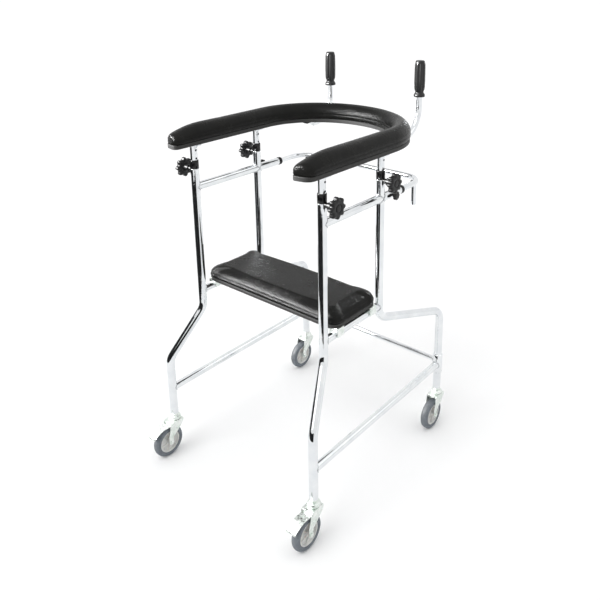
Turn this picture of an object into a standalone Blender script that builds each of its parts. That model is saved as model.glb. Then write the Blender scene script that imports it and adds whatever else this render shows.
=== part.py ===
import math

import bmesh
import bpy
from mathutils import Vector
from mathutils.geometry import tessellate_polygon

# Metres, +Z up, +Y the way the user walks, +X the user's right.
GAP = 0.0003
TUBE_R = 0.0125
INNER_R = 0.0108
BORE_R = 0.0112
TUBE_SIDES = 16
BEND_STEPS = 5

MID_Y = -0.058
POST_X = 0.244
POST_REAR_Y = MID_Y - 0.126
POST_FRONT_Y = MID_Y + 0.126
POST_TOP = 0.9287
POST_COLLAR_TOP = 0.9550
COLLAR_R = 0.0128
POST_BORE_BOTTOM = 0.690

LEG_X = 0.292
LEG_REAR_Y = MID_Y - 0.229
LEG_FRONT_Y = MID_Y + 0.403
LEG_BOTTOM = 0.137
REAR_BEND_TOP = 0.482
REAR_BEND_LOW = 0.328
REAR_BEND_R = 0.055
FRONT_BEND_TOP = 0.500
FRONT_BEND_LOW = 0.422
FRONT_BEND_R = 0.042

UPPER_RAIL_Z = 0.872
SEAT_RAIL_Z = 0.538
SEAT_RAIL_R = 0.011
LOWER_RAIL_Z = 0.2255
LOWER_RAIL_R = 0.0115
CROSS_TUBE_Z = 0.238
CROSS_TUBE_R = 0.008
JOINT_SLEEVE_R = 0.0155
JOINT_SLEEVE_BOTTOM = 0.196
JOINT_SLEEVE_TOP = 0.262
JOINT_SLEEVE_EDGE = 0.0015

SOCKET_END_Y = MID_Y + 0.2190
SOCKET_BORE_Y = MID_Y + 0.1455
RAIL_COLLAR_LENGTH = 0.0140
BOW_R = 0.0085
BOW_TAIL_Y = MID_Y + 0.150
BOW_FRONT_Y = MID_Y + 0.3540
BOW_BEND_R = 0.062
THUMB_Y = MID_Y + 0.172
THUMB_R = 0.0125
THUMB_LOBE = 0.0009
THUMB_LOBES = 8

STEM_X = 0.178
STEM_R = 0.0095
STEM_FRONT_Y = MID_Y + 0.421
STEM_LOW = 0.9928
STEM_BEND_R = 0.0838
STEM_BEND_STEPS = 8
STEM_TOP = 1.196
STEM_FLAT_Y = MID_Y + 0.310
STEM_SQUEEZE = 0.016
STEM_END_Y = MID_Y + 0.290
STEM_FLAT_HALF_WIDE = 0.0130
STEM_FLAT_HALF_TALL = 0.0028
GRIP_BOTTOM = 1.110
GRIP_TOP = 1.222
GRIP_R = 0.0160
GRIP_FLUTES = 8

HOLDER_X = 0.2155
HOLDER_Y = MID_Y + 0.3442
HOLDER_R = 0.0080
HOLDER_TOP = 0.8630
HOLDER_BOTTOM = 0.787
HOLDER_COLLAR_R = 0.0102
HOLDER_COLLAR_TALL = 0.010

INNER_POST_BOTTOM = 0.700
PLATE_BOTTOM = 0.9990
PLATE_R = 0.024
PLATE_TOP = 1.0037
BOARD_TOP = 1.0157
PAD_BOTTOM = 1.0160
PAD_TOP = 1.0667
PAD_X = 0.2445
PAD_HALF_WIDTH = 0.0320
PAD_REAR_Y = MID_Y - 0.2075
PAD_ARC_Y = MID_Y + 0.160
PAD_FRONT_Y = MID_Y + 0.380
PAD_ARC_STEPS = 22
PAD_END_R = 0.019
PAD_END_EDGE_R = 0.008
PAD_TAPER = 0.115
PAD_DROP = 0.43
PAD_SKEW = 0.23
PAD_SKEW_REACH = 0.100
BOARD_INSET = 0.004

KNOB_Z = 0.925
KNOB_INNER_X = 0.2830
KNOB_OUTER_X = 0.2990
KNOB_R = 0.0262
KNOB_LOBE = 0.0030
KNOB_LOBES = 8

SEAT_Y = MID_Y + 0.004
SEAT_HALF_X = 0.262
SEAT_HALF_Y = 0.105
SEAT_CORNER_R = 0.036
SEAT_BOARD_INSET = 0.006
SEAT_CLIP_Y = 0.074
SEAT_CLIP_HALF = 0.014
SEAT_SADDLE_WALL = 0.0040
SEAT_SADDLE_DROP = 0.0040
SEAT_BOARD_BOTTOM = 0.5600
SEAT_BOARD_TOP = 0.5700
SEAT_PAD_BOTTOM = 0.5703
SEAT_PAD_TOP = 0.6075

WHEEL_R = 0.0505
RIM_R = 0.0350
TYRE_HALF_WIDTH = 0.0120
TYRE_SIDES = 24
TRAIL = 0.0320
FORK_HALF_OUT = 0.0185
FORK_HALF_IN = 0.0165
FORK_TOP = 0.1160
FORK_UNDER = 0.1125
AXLE_R = 0.0038
AXLE_SIDES = 10
BOLT_HEAD_R = 0.0062
BOLT_HEAD_TALL = 0.0035
CASTORS = {
    "RL": (-LEG_X, LEG_REAR_Y, -90.0),
    "RR": (LEG_X, LEG_REAR_Y, -90.0),
    "FL": (-LEG_X, LEG_FRONT_Y, -90.0),
    "FR": (LEG_X, LEG_FRONT_Y, -90.0),
}
PEDAL_PIVOT = (0.0245, 0.1055)
SMOOTH_ANGLE = 32.0


def clear_scene():
    for ob in list(bpy.data.objects):
        bpy.data.objects.remove(ob, do_unlink=True)


def material(name, colour, roughness, metallic=0.0):
    mat = bpy.data.materials.get(name) or bpy.data.materials.new(name)
    mat.use_nodes = True
    shader = mat.node_tree.nodes["Principled BSDF"]
    shader.inputs["Base Color"].default_value = (*colour, 1.0)
    shader.inputs["Roughness"].default_value = roughness
    shader.inputs["Metallic"].default_value = metallic
    mat.diffuse_color = (*colour, 1.0)
    return mat


def chrome():
    return material("chrome", (0.80, 0.81, 0.82), 0.12, 1.0)


def zinc():
    return material("zinc_plate", (0.62, 0.64, 0.60), 0.35, 1.0)


def black_plastic():
    return material("black_plastic", (0.015, 0.015, 0.016), 0.40)


def black_grip():
    return material("black_grip", (0.012, 0.012, 0.013), 0.32)


def black_vinyl():
    return material("black_vinyl", (0.018, 0.018, 0.019), 0.45)


def board_laminate():
    return material("board_laminate", (0.02, 0.02, 0.02), 0.70)


def grey_rubber():
    return material("grey_rubber", (0.30, 0.31, 0.31), 0.75)


def pale_plastic():
    return material("pale_plastic", (0.72, 0.73, 0.71), 0.45)


def finish(name, bm, mat, origin=(0.0, 0.0, 0.0), smooth=True):
    bmesh.ops.recalc_face_normals(bm, faces=bm.faces)
    bmesh.ops.translate(bm, verts=bm.verts, vec=-Vector(origin))
    mesh = bpy.data.meshes.new(name)
    bm.to_mesh(mesh)
    bm.free()
    if smooth:
        mesh.shade_smooth()
        mesh.set_sharp_from_angle(angle=math.radians(SMOOTH_ANGLE))
    mesh.materials.append(mat)
    ob = bpy.data.objects.new(name, mesh)
    ob.location = origin
    bpy.context.scene.collection.objects.link(ob)
    return ob


def loft(bm, rings, caps=True, closed=False):
    """Skin a list of rings, each with the same number of points."""
    made = [[bm.verts.new(p) for p in ring] for ring in rings]
    count = len(made[0])
    pairs = list(zip(made, made[1:]))
    if closed:
        pairs.append((made[-1], made[0]))
    for low, high in pairs:
        for i in range(count):
            j = (i + 1) % count
            bm.faces.new((low[i], low[j], high[j], high[i]))
    if caps and not closed:
        bm.faces.new(made[0])
        bm.faces.new(list(reversed(made[-1])))
    return made


def saddle_cap(bm, ring):
    """Close a coped ring with strips that follow the tube it meets."""
    count = len(ring)
    half = count // 2
    for i in range(half):
        quad = [ring[i], ring[i + 1], ring[(count - i - 1) % count], ring[(count - i) % count]]
        corners = list(dict.fromkeys(quad))
        if len(corners) > 2:
            bm.faces.new(corners)


def circle(centre, first, second, radius, sides):
    points = []
    for i in range(sides):
        angle = math.tau * i / sides
        points.append(Vector(centre) + radius * (math.cos(angle) * first + math.sin(angle) * second))
    return points


def rounded_path(corners, radius, steps):
    """Replace every inner corner of a polyline with an arc."""
    points = [Vector(corners[0])]
    for before, here, after in zip(corners, corners[1:], corners[2:]):
        here = Vector(here)
        to_before = (Vector(before) - here).normalized()
        to_after = (Vector(after) - here).normalized()
        half_angle = to_before.angle(to_after) / 2
        centre = here + (to_before + to_after).normalized() * (radius / math.sin(half_angle))
        reach = radius / math.tan(half_angle)
        start = here + to_before * reach - centre
        end = here + to_after * reach - centre
        sweep = start.angle(end)
        for k in range(steps + 1):
            share = k / steps
            blend = start * math.sin((1 - share) * sweep) + end * math.sin(share * sweep)
            points.append(centre + blend / math.sin(sweep))
    points.append(Vector(corners[-1]))
    return points


def path_rings(points, radius, sides, first_side):
    """Rings square to the path, carried along it without twist."""
    rings = []
    side = Vector(first_side)
    for i, point in enumerate(points):
        ahead = points[min(i + 1, len(points) - 1)] - point
        behind = point - points[max(i - 1, 0)]
        along = (ahead.normalized() + behind.normalized()).normalized()
        side = (side - along * side.dot(along)).normalized()
        rings.append(circle(point, side, along.cross(side), radius, sides))
    return rings


def bent_tube(name, corners, bend, radius, mat, first_side, bore=None, sleeve=()):
    """Tube along a bent path, with an optional blind bore at its end and a sleeve near its upright start."""
    points = rounded_path(corners, bend, BEND_STEPS)
    rings = path_rings(points, radius, TUBE_SIDES, first_side)
    if bore:
        bore_radius, depth = bore
        along = (points[-1] - points[-2]).normalized()
        for back in (0.0, depth):
            centre = points[-1] - along * back
            shrink = bore_radius / radius
            rings.append([centre + (p - points[-1]) * shrink for p in rings[len(points) - 1]])
    for z, wide in reversed(sleeve):
        centre = Vector((points[0].x, points[0].y, z))
        rings.insert(1, [centre + (p - points[0]) * (wide / radius) for p in rings[0]])
    bm = bmesh.new()
    loft(bm, rings)
    return finish(name, bm, mat)


def coped_ring(foot, along, other, radius, met_radius):
    """End ring of a tube that meets another tube square on."""
    across = along.cross(other)
    points = []
    for i in range(TUBE_SIDES):
        angle = math.tau * i / TUBE_SIDES
        sideways = radius * math.cos(angle)
        reach = math.sqrt((met_radius + GAP) ** 2 - sideways ** 2)
        points.append(Vector(foot) + along * reach + across * sideways + other * (radius * math.sin(angle)))
    return points


def coped_tube(name, start, end, other, radius, met_radius, mat):
    """Straight tube fitted between the axes of two tubes, coped at both ends."""
    start, end, other = Vector(start), Vector(end), Vector(other)
    along = (end - start).normalized()
    near = coped_ring(start, along, other, radius, met_radius)
    far = coped_ring(end, -along, other, radius, met_radius)
    far = [far[(TUBE_SIDES // 2 - i) % TUBE_SIDES] for i in range(TUBE_SIDES)]
    bm = bmesh.new()
    made = loft(bm, [near, far], caps=False)
    saddle_cap(bm, made[0])
    saddle_cap(bm, made[1])
    return finish(name, bm, mat)


def turned(bm, centre, axis, profile, sides, closed=False, wave=None):
    """Turn a profile of (radius, distance along the axis) about the axis."""
    axis = Vector(axis).normalized()
    first = Vector((1.0, 0.0, 0.0)) if abs(axis.z) > 0.5 else Vector((0.0, 0.0, 1.0))
    second = axis.cross(first)
    rings = []
    for row in profile:
        radius, distance = row[0], row[1]
        depth = row[2] if len(row) > 2 else 0.0
        ring = []
        for i in range(sides):
            angle = math.tau * i / sides
            reach = radius + (depth * math.cos(wave * angle) if wave else 0.0)
            offset = math.cos(angle) * first + math.sin(angle) * second
            ring.append(Vector(centre) + axis * distance + reach * offset)
        rings.append(ring)
    loft(bm, rings, closed=closed)


def turned_part(name, centre, axis, profile, sides, mat, closed=False, wave=None, origin=None):
    bm = bmesh.new()
    turned(bm, centre, axis, profile, sides, closed, wave)
    return finish(name, bm, mat, origin or centre)


def extruded(bm, outline, place):
    """Prism from a flat outline; place(point, side) gives the position on side 0 or 1."""
    near = [bm.verts.new(place(p, 0)) for p in outline]
    far = [bm.verts.new(place(p, 1)) for p in outline]
    count = len(outline)
    bm.faces.new(near)
    bm.faces.new(list(reversed(far)))
    for i in range(count):
        j = (i + 1) % count
        bm.faces.new((near[i], near[j], far[j], far[i]))


def rear_leg(name, side):
    corners = [
        (side * LEG_X, LEG_REAR_Y, LEG_BOTTOM),
        (side * LEG_X, LEG_REAR_Y, REAR_BEND_LOW),
        (side * POST_X, POST_REAR_Y, REAR_BEND_TOP),
        (side * POST_X, POST_REAR_Y, POST_TOP),
    ]
    bore = (BORE_R, POST_TOP - POST_BORE_BOTTOM)
    bent_tube(name, corners, REAR_BEND_R, TUBE_R, chrome(), (1, 0, 0), bore)


def front_leg(name, side):
    """Front leg with the welded sleeve where the rails come together."""
    corners = [
        (side * LEG_X, LEG_FRONT_Y, LEG_BOTTOM),
        (side * LEG_X, LEG_FRONT_Y, FRONT_BEND_LOW),
        (side * POST_X, POST_FRONT_Y, FRONT_BEND_TOP),
        (side * POST_X, POST_FRONT_Y, POST_TOP),
    ]
    edge = JOINT_SLEEVE_EDGE
    sleeve = [(JOINT_SLEEVE_BOTTOM, TUBE_R), (JOINT_SLEEVE_BOTTOM + edge, JOINT_SLEEVE_R),
              (JOINT_SLEEVE_TOP - edge, JOINT_SLEEVE_R), (JOINT_SLEEVE_TOP, TUBE_R)]
    bore = (BORE_R, POST_TOP - POST_BORE_BOTTOM)
    bent_tube(name, corners, FRONT_BEND_R, TUBE_R, chrome(), (1, 0, 0), bore, sleeve)


def side_rails(tag, side):
    up = (0, 0, 1)
    rear, front = POST_REAR_Y, POST_FRONT_Y
    coped_tube("upper_rail_" + tag, (side * POST_X, rear, UPPER_RAIL_Z), (side * POST_X, front, UPPER_RAIL_Z),
               up, TUBE_R, TUBE_R, chrome())
    coped_tube("seat_rail_" + tag, (side * POST_X, rear, SEAT_RAIL_Z), (side * POST_X, front, SEAT_RAIL_Z),
               up, SEAT_RAIL_R, TUBE_R, chrome())


def lower_rail(name, side):
    """Side rail from the rear leg to the sleeve on the front leg."""
    up = Vector((0, 0, 1))
    ahead = Vector((0, 1, 0))
    rear = (side * LEG_X, LEG_REAR_Y, LOWER_RAIL_Z)
    front = (side * LEG_X, LEG_FRONT_Y, LOWER_RAIL_Z)
    near = coped_ring(rear, ahead, up, LOWER_RAIL_R, TUBE_R)
    far = coped_ring(front, -ahead, up, LOWER_RAIL_R, JOINT_SLEEVE_R)
    far = [far[(TUBE_SIDES // 2 - i) % TUBE_SIDES] for i in range(TUBE_SIDES)]
    bm = bmesh.new()
    made = loft(bm, [near, far], caps=False)
    saddle_cap(bm, made[0])
    saddle_cap(bm, made[1])
    finish(name, bm, chrome())


def front_cross_tube():
    coped_tube("front_cross_tube", (-LEG_X, LEG_FRONT_Y, CROSS_TUBE_Z), (LEG_X, LEG_FRONT_Y, CROSS_TUBE_Z),
               (0, 0, 1), CROSS_TUBE_R, JOINT_SLEEVE_R, chrome())


def rail_socket(name, side):
    """Hollow end of an upper rail, in front of the post, that holds the bow."""
    ahead = Vector((0, 1, 0))
    foot = Vector((side * POST_X, POST_FRONT_Y, UPPER_RAIL_Z))
    near = coped_ring(foot, ahead, Vector((0, 0, 1)), TUBE_R, TUBE_R)
    rings = [near]
    for y, radius in ((SOCKET_END_Y, TUBE_R), (SOCKET_END_Y, BORE_R), (SOCKET_BORE_Y, BORE_R)):
        share = radius / TUBE_R
        rings.append([Vector((foot.x + (p.x - foot.x) * share, y, foot.z + (p.z - foot.z) * share)) for p in near])
    bm = bmesh.new()
    made = loft(bm, rings, caps=False)
    saddle_cap(bm, made[0])
    bm.faces.new(made[-1])
    finish(name, bm, chrome())


def guide_collar(name, foot, axis, start, end, slide):
    """Ring on the end of a tube that guides the tube inside it."""
    edge = 0.0015
    profile = [(slide, start), (COLLAR_R, start), (COLLAR_R, end - edge), (COLLAR_R - edge, end), (slide, end)]
    turned_part(name, foot, axis, profile, TUBE_SIDES, black_plastic(), closed=True)


def post_collar(name, side, y):
    guide_collar(name, (side * POST_X, y, 0), (0, 0, 1), POST_TOP + GAP, POST_COLLAR_TOP, INNER_R + GAP)


def rail_collar(name, side):
    start = SOCKET_END_Y + GAP
    guide_collar(name, (side * POST_X, 0, UPPER_RAIL_Z), (0, 1, 0), start, start + RAIL_COLLAR_LENGTH, BOW_R + GAP)


def thumb_screw(name, side):
    """Small lobed screw on the outside of a rail end."""
    profile = [(0.0030, 0.0), (0.0030, 0.0040), (0.0085, 0.0045), (THUMB_R - 0.0015, 0.0060, THUMB_LOBE),
               (THUMB_R, 0.0075, THUMB_LOBE), (THUMB_R, 0.0120, THUMB_LOBE), (THUMB_R - 0.0015, 0.0135, THUMB_LOBE),
               (0.0060, 0.0145)]
    start = (side * (POST_X + TUBE_R + GAP), THUMB_Y, UPPER_RAIL_Z)
    turned_part(name, start, (side, 0, 0), profile, THUMB_LOBES * 4, black_plastic(), wave=THUMB_LOBES)


def inner_post(name, side, y):
    """Inner post with the round plate welded on its top."""
    profile = [(INNER_R, INNER_POST_BOTTOM), (INNER_R, PLATE_BOTTOM), (PLATE_R, PLATE_BOTTOM),
               (PLATE_R, PLATE_TOP)]
    turned_part(name, (side * POST_X, y, 0), (0, 0, 1), profile, TUBE_SIDES, chrome())


def round_in(distance, radius):
    """How far an outline has drawn in at a distance from a rounded end."""
    if distance >= radius:
        return 0.0
    return radius - math.sqrt(radius ** 2 - (radius - distance) ** 2)


def pad_stations():
    """Stations of the U from end to end: point, side direction and distance to the nearer end."""
    distances = [0.0, 0.0035, 0.009, PAD_END_R, 0.040, 0.065, 0.090, PAD_TAPER, 0.200, 0.285]
    arm = [Vector((-PAD_X, PAD_REAR_Y + d, 0)) for d in distances]
    bow = []
    for k in range(PAD_ARC_STEPS + 1):
        angle = math.pi * k / PAD_ARC_STEPS
        rise = (PAD_FRONT_Y - PAD_ARC_Y) * math.sin(angle)
        bow.append(Vector((-PAD_X * math.cos(angle), PAD_ARC_Y + rise, 0)))
    points = arm + bow + [Vector((-p.x, p.y, 0)) for p in reversed(arm)]
    far = [PAD_TAPER] * len(bow)
    reaches = distances + far + distances[::-1]
    stations = []
    for i, point in enumerate(points):
        along = (points[min(i + 1, len(points) - 1)] - points[max(i - 1, 0)]).normalized()
        stations.append((point, Vector((along.y, -along.x, 0)), reaches[i]))
    return stations


def pad_ring(station, outline):
    """One cross-section of the U; near an end its inner side is drawn back."""
    point, side, distance = station
    back = PAD_SKEW * max(0.0, 1.0 - distance / PAD_SKEW_REACH)
    ring = []
    for u, z in outline:
        spot = point + side * u + Vector((0, 0, z))
        inward = abs(point.x) - abs(spot.x)
        ring.append(spot - Vector((0, back * inward, 0)))
    return ring


def underarm_board():
    rings = []
    for station in pad_stations():
        width = PAD_HALF_WIDTH - BOARD_INSET - round_in(station[2], PAD_END_R)
        low = PLATE_TOP + GAP
        rings.append(pad_ring(station, ((-width, low), (width, low), (width, BOARD_TOP), (-width, BOARD_TOP))))
    bm = bmesh.new()
    loft(bm, rings)
    finish("underarm_board", bm, board_laminate())


def underarm_cushion():
    """Rolled pad with a half-round crown, a seam line round its side and ends that thin out."""
    half_profile = [(0.93, 0.0), (1.0, 0.08), (1.0, 0.25), (0.97, 0.305), (1.0, 0.36), (0.913, 0.572),
                    (0.671, 0.790), (0.331, 0.944)]
    outline = [(-u, v) for u, v in half_profile] + [(0.0, 1.0)] + [(u, v) for u, v in reversed(half_profile)]
    rings = []
    for station in pad_stations():
        width = PAD_HALF_WIDTH - round_in(station[2], PAD_END_R)
        thinning = PAD_DROP * (1.0 - min(station[2] / PAD_TAPER, 1.0)) ** 2
        tall = (PAD_TOP - PAD_BOTTOM) * (1.0 - thinning) - round_in(station[2], PAD_END_EDGE_R)
        rings.append(pad_ring(station, [(u * width, PAD_BOTTOM + v * tall) for u, v in outline]))
    bm = bmesh.new()
    loft(bm, rings)
    finish("underarm_cushion", bm, black_vinyl())


def star_knob(name, side, y):
    start = (side * (POST_X + TUBE_R + GAP), y, KNOB_Z)
    inner = KNOB_INNER_X - POST_X - TUBE_R - GAP
    outer = KNOB_OUTER_X - POST_X - TUBE_R - GAP
    profile = [(0.0035, 0.0), (0.0035, 0.010), (0.0100, 0.0105), (0.0120, inner),
               (KNOB_R - 0.0025, inner + 0.0004, KNOB_LOBE), (KNOB_R, inner + 0.0035, KNOB_LOBE),
               (KNOB_R, outer - 0.0035, KNOB_LOBE), (KNOB_R - 0.0035, outer, KNOB_LOBE * 0.8)]
    turned_part(name, start, (side, 0, 0), profile, KNOB_LOBES * 4, black_plastic(), wave=KNOB_LOBES)


def front_bow():
    """One bent tube: two arms in the rail ends and the cross piece in front."""
    corners = [(-POST_X, BOW_TAIL_Y, UPPER_RAIL_Z), (-POST_X, BOW_FRONT_Y, UPPER_RAIL_Z),
               (POST_X, BOW_FRONT_Y, UPPER_RAIL_Z), (POST_X, BOW_TAIL_Y, UPPER_RAIL_Z)]
    bent_tube("front_bow", corners, BOW_BEND_R, BOW_R, chrome(), (0, 0, 1))


def oval(centre, half_wide, half_tall):
    """Upright oval ring across a tube that runs along Y."""
    ring = []
    for i in range(TUBE_SIDES):
        angle = math.tau * i / TUBE_SIDES
        ring.append(Vector(centre) + Vector((half_wide * math.cos(angle), 0, half_tall * math.sin(angle))))
    return ring


def handle_stem(name, side):
    """Upright stem that bends back under the armrest board and ends in a flattened tongue."""
    x = side * STEM_X
    corners = [(x, STEM_FRONT_Y, STEM_TOP), (x, STEM_FRONT_Y, STEM_LOW), (x, STEM_FLAT_Y + STEM_SQUEEZE, STEM_LOW)]
    points = rounded_path(corners, STEM_BEND_R, STEM_BEND_STEPS)
    rings = path_rings(points, STEM_R, TUBE_SIDES, (1, 0, 0))
    tongue = PLATE_TOP - GAP - STEM_FLAT_HALF_TALL
    for y in (STEM_FLAT_Y, STEM_END_Y):
        rings.append(oval((x, y, tongue), STEM_FLAT_HALF_WIDE, STEM_FLAT_HALF_TALL))
    bm = bmesh.new()
    loft(bm, rings)
    finish(name, bm, chrome())


def grip(name, side):
    """Fluted grip with a flared lower collar and a blind bore for the stem."""
    bore = STEM_R + GAP
    height = GRIP_TOP - GRIP_BOTTOM
    profile = [(bore, STEM_TOP + GAP - GRIP_BOTTOM), (bore, 0.0), (GRIP_R + 0.0015, 0.0), (GRIP_R + 0.0015, 0.007),
               (GRIP_R - 0.0030, 0.014), (GRIP_R - 0.0010, 0.022, 0.0009), (GRIP_R, 0.45 * height, 0.0011),
               (GRIP_R - 0.0006, height - 0.012, 0.0011), (GRIP_R - 0.0022, height - 0.003), (GRIP_R - 0.0052, height)]
    turned_part(name, (side * STEM_X, STEM_FRONT_Y, GRIP_BOTTOM), (0, 0, 1), profile, GRIP_FLUTES * 4,
                black_grip(), wave=GRIP_FLUTES)


def bow_holder(name, side):
    """Short tube with a collar that hangs under a corner of the bow."""
    low = HOLDER_TOP - HOLDER_COLLAR_TALL
    profile = [(HOLDER_R - 0.001, HOLDER_BOTTOM), (HOLDER_R, HOLDER_BOTTOM + 0.001), (HOLDER_R, low),
               (HOLDER_COLLAR_R, low), (HOLDER_COLLAR_R, HOLDER_TOP)]
    turned_part(name, (side * HOLDER_X, HOLDER_Y, 0), (0, 0, 1), profile, TUBE_SIDES, chrome())


def rounded_rectangle(half_x, half_y, radius, steps, z):
    points = []
    centres = ((half_x - radius, half_y - radius, 0), (radius - half_x, half_y - radius, 90),
               (radius - half_x, radius - half_y, 180), (half_x - radius, radius - half_y, 270))
    for x, y, start in centres:
        for k in range(steps + 1):
            angle = math.radians(start + 90 * k / steps)
            points.append(Vector((x + radius * math.cos(angle), SEAT_Y + y + radius * math.sin(angle), z)))
    return points


def seat_layers(name, layers, mat):
    bm = bmesh.new()
    rings = []
    for inset, z in layers:
        radius = max(SEAT_CORNER_R - inset, 0.006)
        rings.append(rounded_rectangle(SEAT_HALF_X - inset, SEAT_HALF_Y - inset, radius, 5, z))
    loft(bm, rings)
    return finish(name, bm, mat)


def seat_clip_shapes():
    """Four saddles over the seat rails, joined to the board by its Boolean."""
    reach = SEAT_RAIL_R + GAP
    wall = reach + SEAT_SADDLE_WALL
    low = SEAT_RAIL_Z - SEAT_SADDLE_DROP
    top = (SEAT_BOARD_BOTTOM + SEAT_BOARD_TOP) / 2
    outline = [(-wall, top), (-wall, low), (-reach, low)]
    for k in range(9):
        angle = math.pi - math.pi * k / 8
        outline.append((reach * math.cos(angle), SEAT_RAIL_Z + reach * math.sin(angle)))
    outline += [(reach, low), (wall, low), (wall, top)]
    bm = bmesh.new()
    for x in (-POST_X, POST_X):
        for y in (SEAT_Y - SEAT_CLIP_Y, SEAT_Y + SEAT_CLIP_Y):
            ends = (y - SEAT_CLIP_HALF, y + SEAT_CLIP_HALF)
            extruded(bm, outline, lambda p, end: (x + p[0], ends[end], p[1]))
    shapes = finish("seat_clip_shapes", bm, board_laminate())
    shapes.hide_render = True
    shapes.display_type = "WIRE"
    return shapes


def seat_board():
    """Board under the cushion with its four rail clips moulded on."""
    inset = SEAT_BOARD_INSET
    board = seat_layers("seat_board", [(inset, SEAT_BOARD_BOTTOM), (inset, SEAT_BOARD_TOP)], board_laminate())
    union = board.modifiers.new("clips", "BOOLEAN")
    union.operation = "UNION"
    union.solver = "EXACT"
    union.object = seat_clip_shapes()


def seat_cushion():
    height = SEAT_PAD_TOP - SEAT_PAD_BOTTOM
    layers = [(0.004, 0.0), (0.0005, 0.12), (0.0, 0.34), (0.0016, 0.45), (0.0, 0.56), (0.0035, 0.74), (0.0120, 0.88),
              (0.0300, 0.96), (0.0600, 1.0)]
    seat_layers("seat_cushion", [(inset, SEAT_PAD_BOTTOM + share * height) for inset, share in layers], black_vinyl())


def castor_stem(tag):
    """Fixed upper half of a castor: race cap, neck and plug under the leg."""
    x, y, _ = CASTORS[tag]
    profile = [(0.0165, FORK_TOP + GAP), (0.0185, 0.1185), (0.0185, 0.1225), (0.0165, 0.1265), (0.0105, 0.1285),
               (0.0105, 0.1320), (0.0120, 0.1325), (0.0120, LEG_BOTTOM - GAP)]
    turned_part("castor_stem_" + tag, (x, y, 0), (0, 0, 1), profile, TUBE_SIDES, zinc())


def castor_frame(tag):
    """Swivel point, trail direction and wheel axis of one castor."""
    x, y, heading = CASTORS[tag]
    trail = Vector((math.cos(math.radians(heading)), math.sin(math.radians(heading)), 0))
    return Vector((x, y, 0)), trail, Vector((-trail.y, trail.x, 0))


def fork_outline():
    """Side view of a fork leg: wide shoulder, tapering to a round eye at the axle."""
    eye = 0.0085
    points = [(0.0310, FORK_UNDER), (0.0335, 0.0960)]
    for degrees in (35, 0, -40, -90, -140, -180, -215):
        angle = math.radians(degrees)
        points.append((TRAIL + eye * math.cos(angle), WHEEL_R + eye * math.sin(angle)))
    points += [(0.0060, 0.0800), (-0.0180, 0.1040), (-0.0190, FORK_UNDER)]
    return points


def eye_ring(radius):
    ring = []
    for i in range(AXLE_SIDES):
        angle = math.tau * i / AXLE_SIDES
        ring.append((TRAIL + radius * math.cos(angle), WHEEL_R + radius * math.sin(angle)))
    return ring


def castor_fork(tag):
    """Bent plate fork with the axle bolt through its legs."""
    swivel, trail, across = castor_frame(tag)
    low = fork_outline()
    top = [(-0.0175, FORK_TOP), (0.0295, FORK_TOP)]
    last = len(low) - 1
    bm = bmesh.new()

    def corner(point, reach):
        return bm.verts.new(swivel + trail * point[0] + across * reach + Vector((0, 0, point[1])))

    def bridge(ring_a, ring_b):
        for i in range(AXLE_SIDES):
            j = (i + 1) % AXLE_SIDES
            bm.faces.new((ring_a[i], ring_a[j], ring_b[j], ring_b[i]))

    rims, eyes = {}, {}
    for reach in (-FORK_HALF_OUT, -FORK_HALF_IN, FORK_HALF_IN, FORK_HALF_OUT):
        inside = abs(reach) == FORK_HALF_IN
        outline = low if inside else low + top
        hole = eye_ring(AXLE_R if inside else BOLT_HEAD_R)
        rims[reach] = [corner(p, reach) for p in outline]
        eyes[reach] = [corner(p, reach) for p in hole]
        flat = [[Vector((p[0], p[1], 0)) for p in loop] for loop in (outline, hole)]
        pool = rims[reach] + eyes[reach]
        for triangle in tessellate_polygon(flat):
            bm.faces.new([pool[i] for i in triangle])
    bridge(eyes[-FORK_HALF_IN], eyes[FORK_HALF_IN])
    for outer, inner in ((-FORK_HALF_OUT, -FORK_HALF_IN), (FORK_HALF_OUT, FORK_HALF_IN)):
        rim_out, rim_in = rims[outer], rims[inner]
        for i in range(last):
            bm.faces.new((rim_out[i], rim_out[i + 1], rim_in[i + 1], rim_in[i]))
        head = [corner(p, outer + math.copysign(BOLT_HEAD_TALL, outer)) for p in eye_ring(BOLT_HEAD_R)]
        bridge(eyes[outer], head)
        bm.faces.new(head)
    left, left_in = rims[-FORK_HALF_OUT], rims[-FORK_HALF_IN]
    right, right_in = rims[FORK_HALF_OUT], rims[FORK_HALF_IN]
    bm.faces.new((left[last], left_in[last], right_in[last], right[last], right[last + 1], left[last + 1]))
    bm.faces.new((left[0], left[last + 2], right[last + 2], right[0], right_in[0], left_in[0]))
    bm.faces.new((left[last + 1], right[last + 1], right[last + 2], left[last + 2]))
    bm.faces.new((left_in[0], right_in[0], right_in[last], left_in[last]))
    finish("castor_fork_" + tag, bm, zinc(), swivel)


def wheel_centre(tag):
    swivel, trail, across = castor_frame(tag)
    return swivel + trail * TRAIL + Vector((0, 0, WHEEL_R)), across


def castor_hub(tag):
    """Dished wheel centre with a bored boss."""
    centre, across = wheel_centre(tag)
    bore = AXLE_R + GAP
    face, web, boss = 0.0105, 0.0055, 0.0150
    half = [(bore, boss), (0.0085, boss), (0.0095, web + 0.001), (RIM_R - 0.0060, web), (RIM_R - 0.0040, face),
            (RIM_R, face)]
    profile = [(r, -z) for r, z in half] + [(r, z) for r, z in reversed(half)]
    turned_part("castor_hub_" + tag, centre, across, profile, TUBE_SIDES, pale_plastic(), closed=True)


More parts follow.
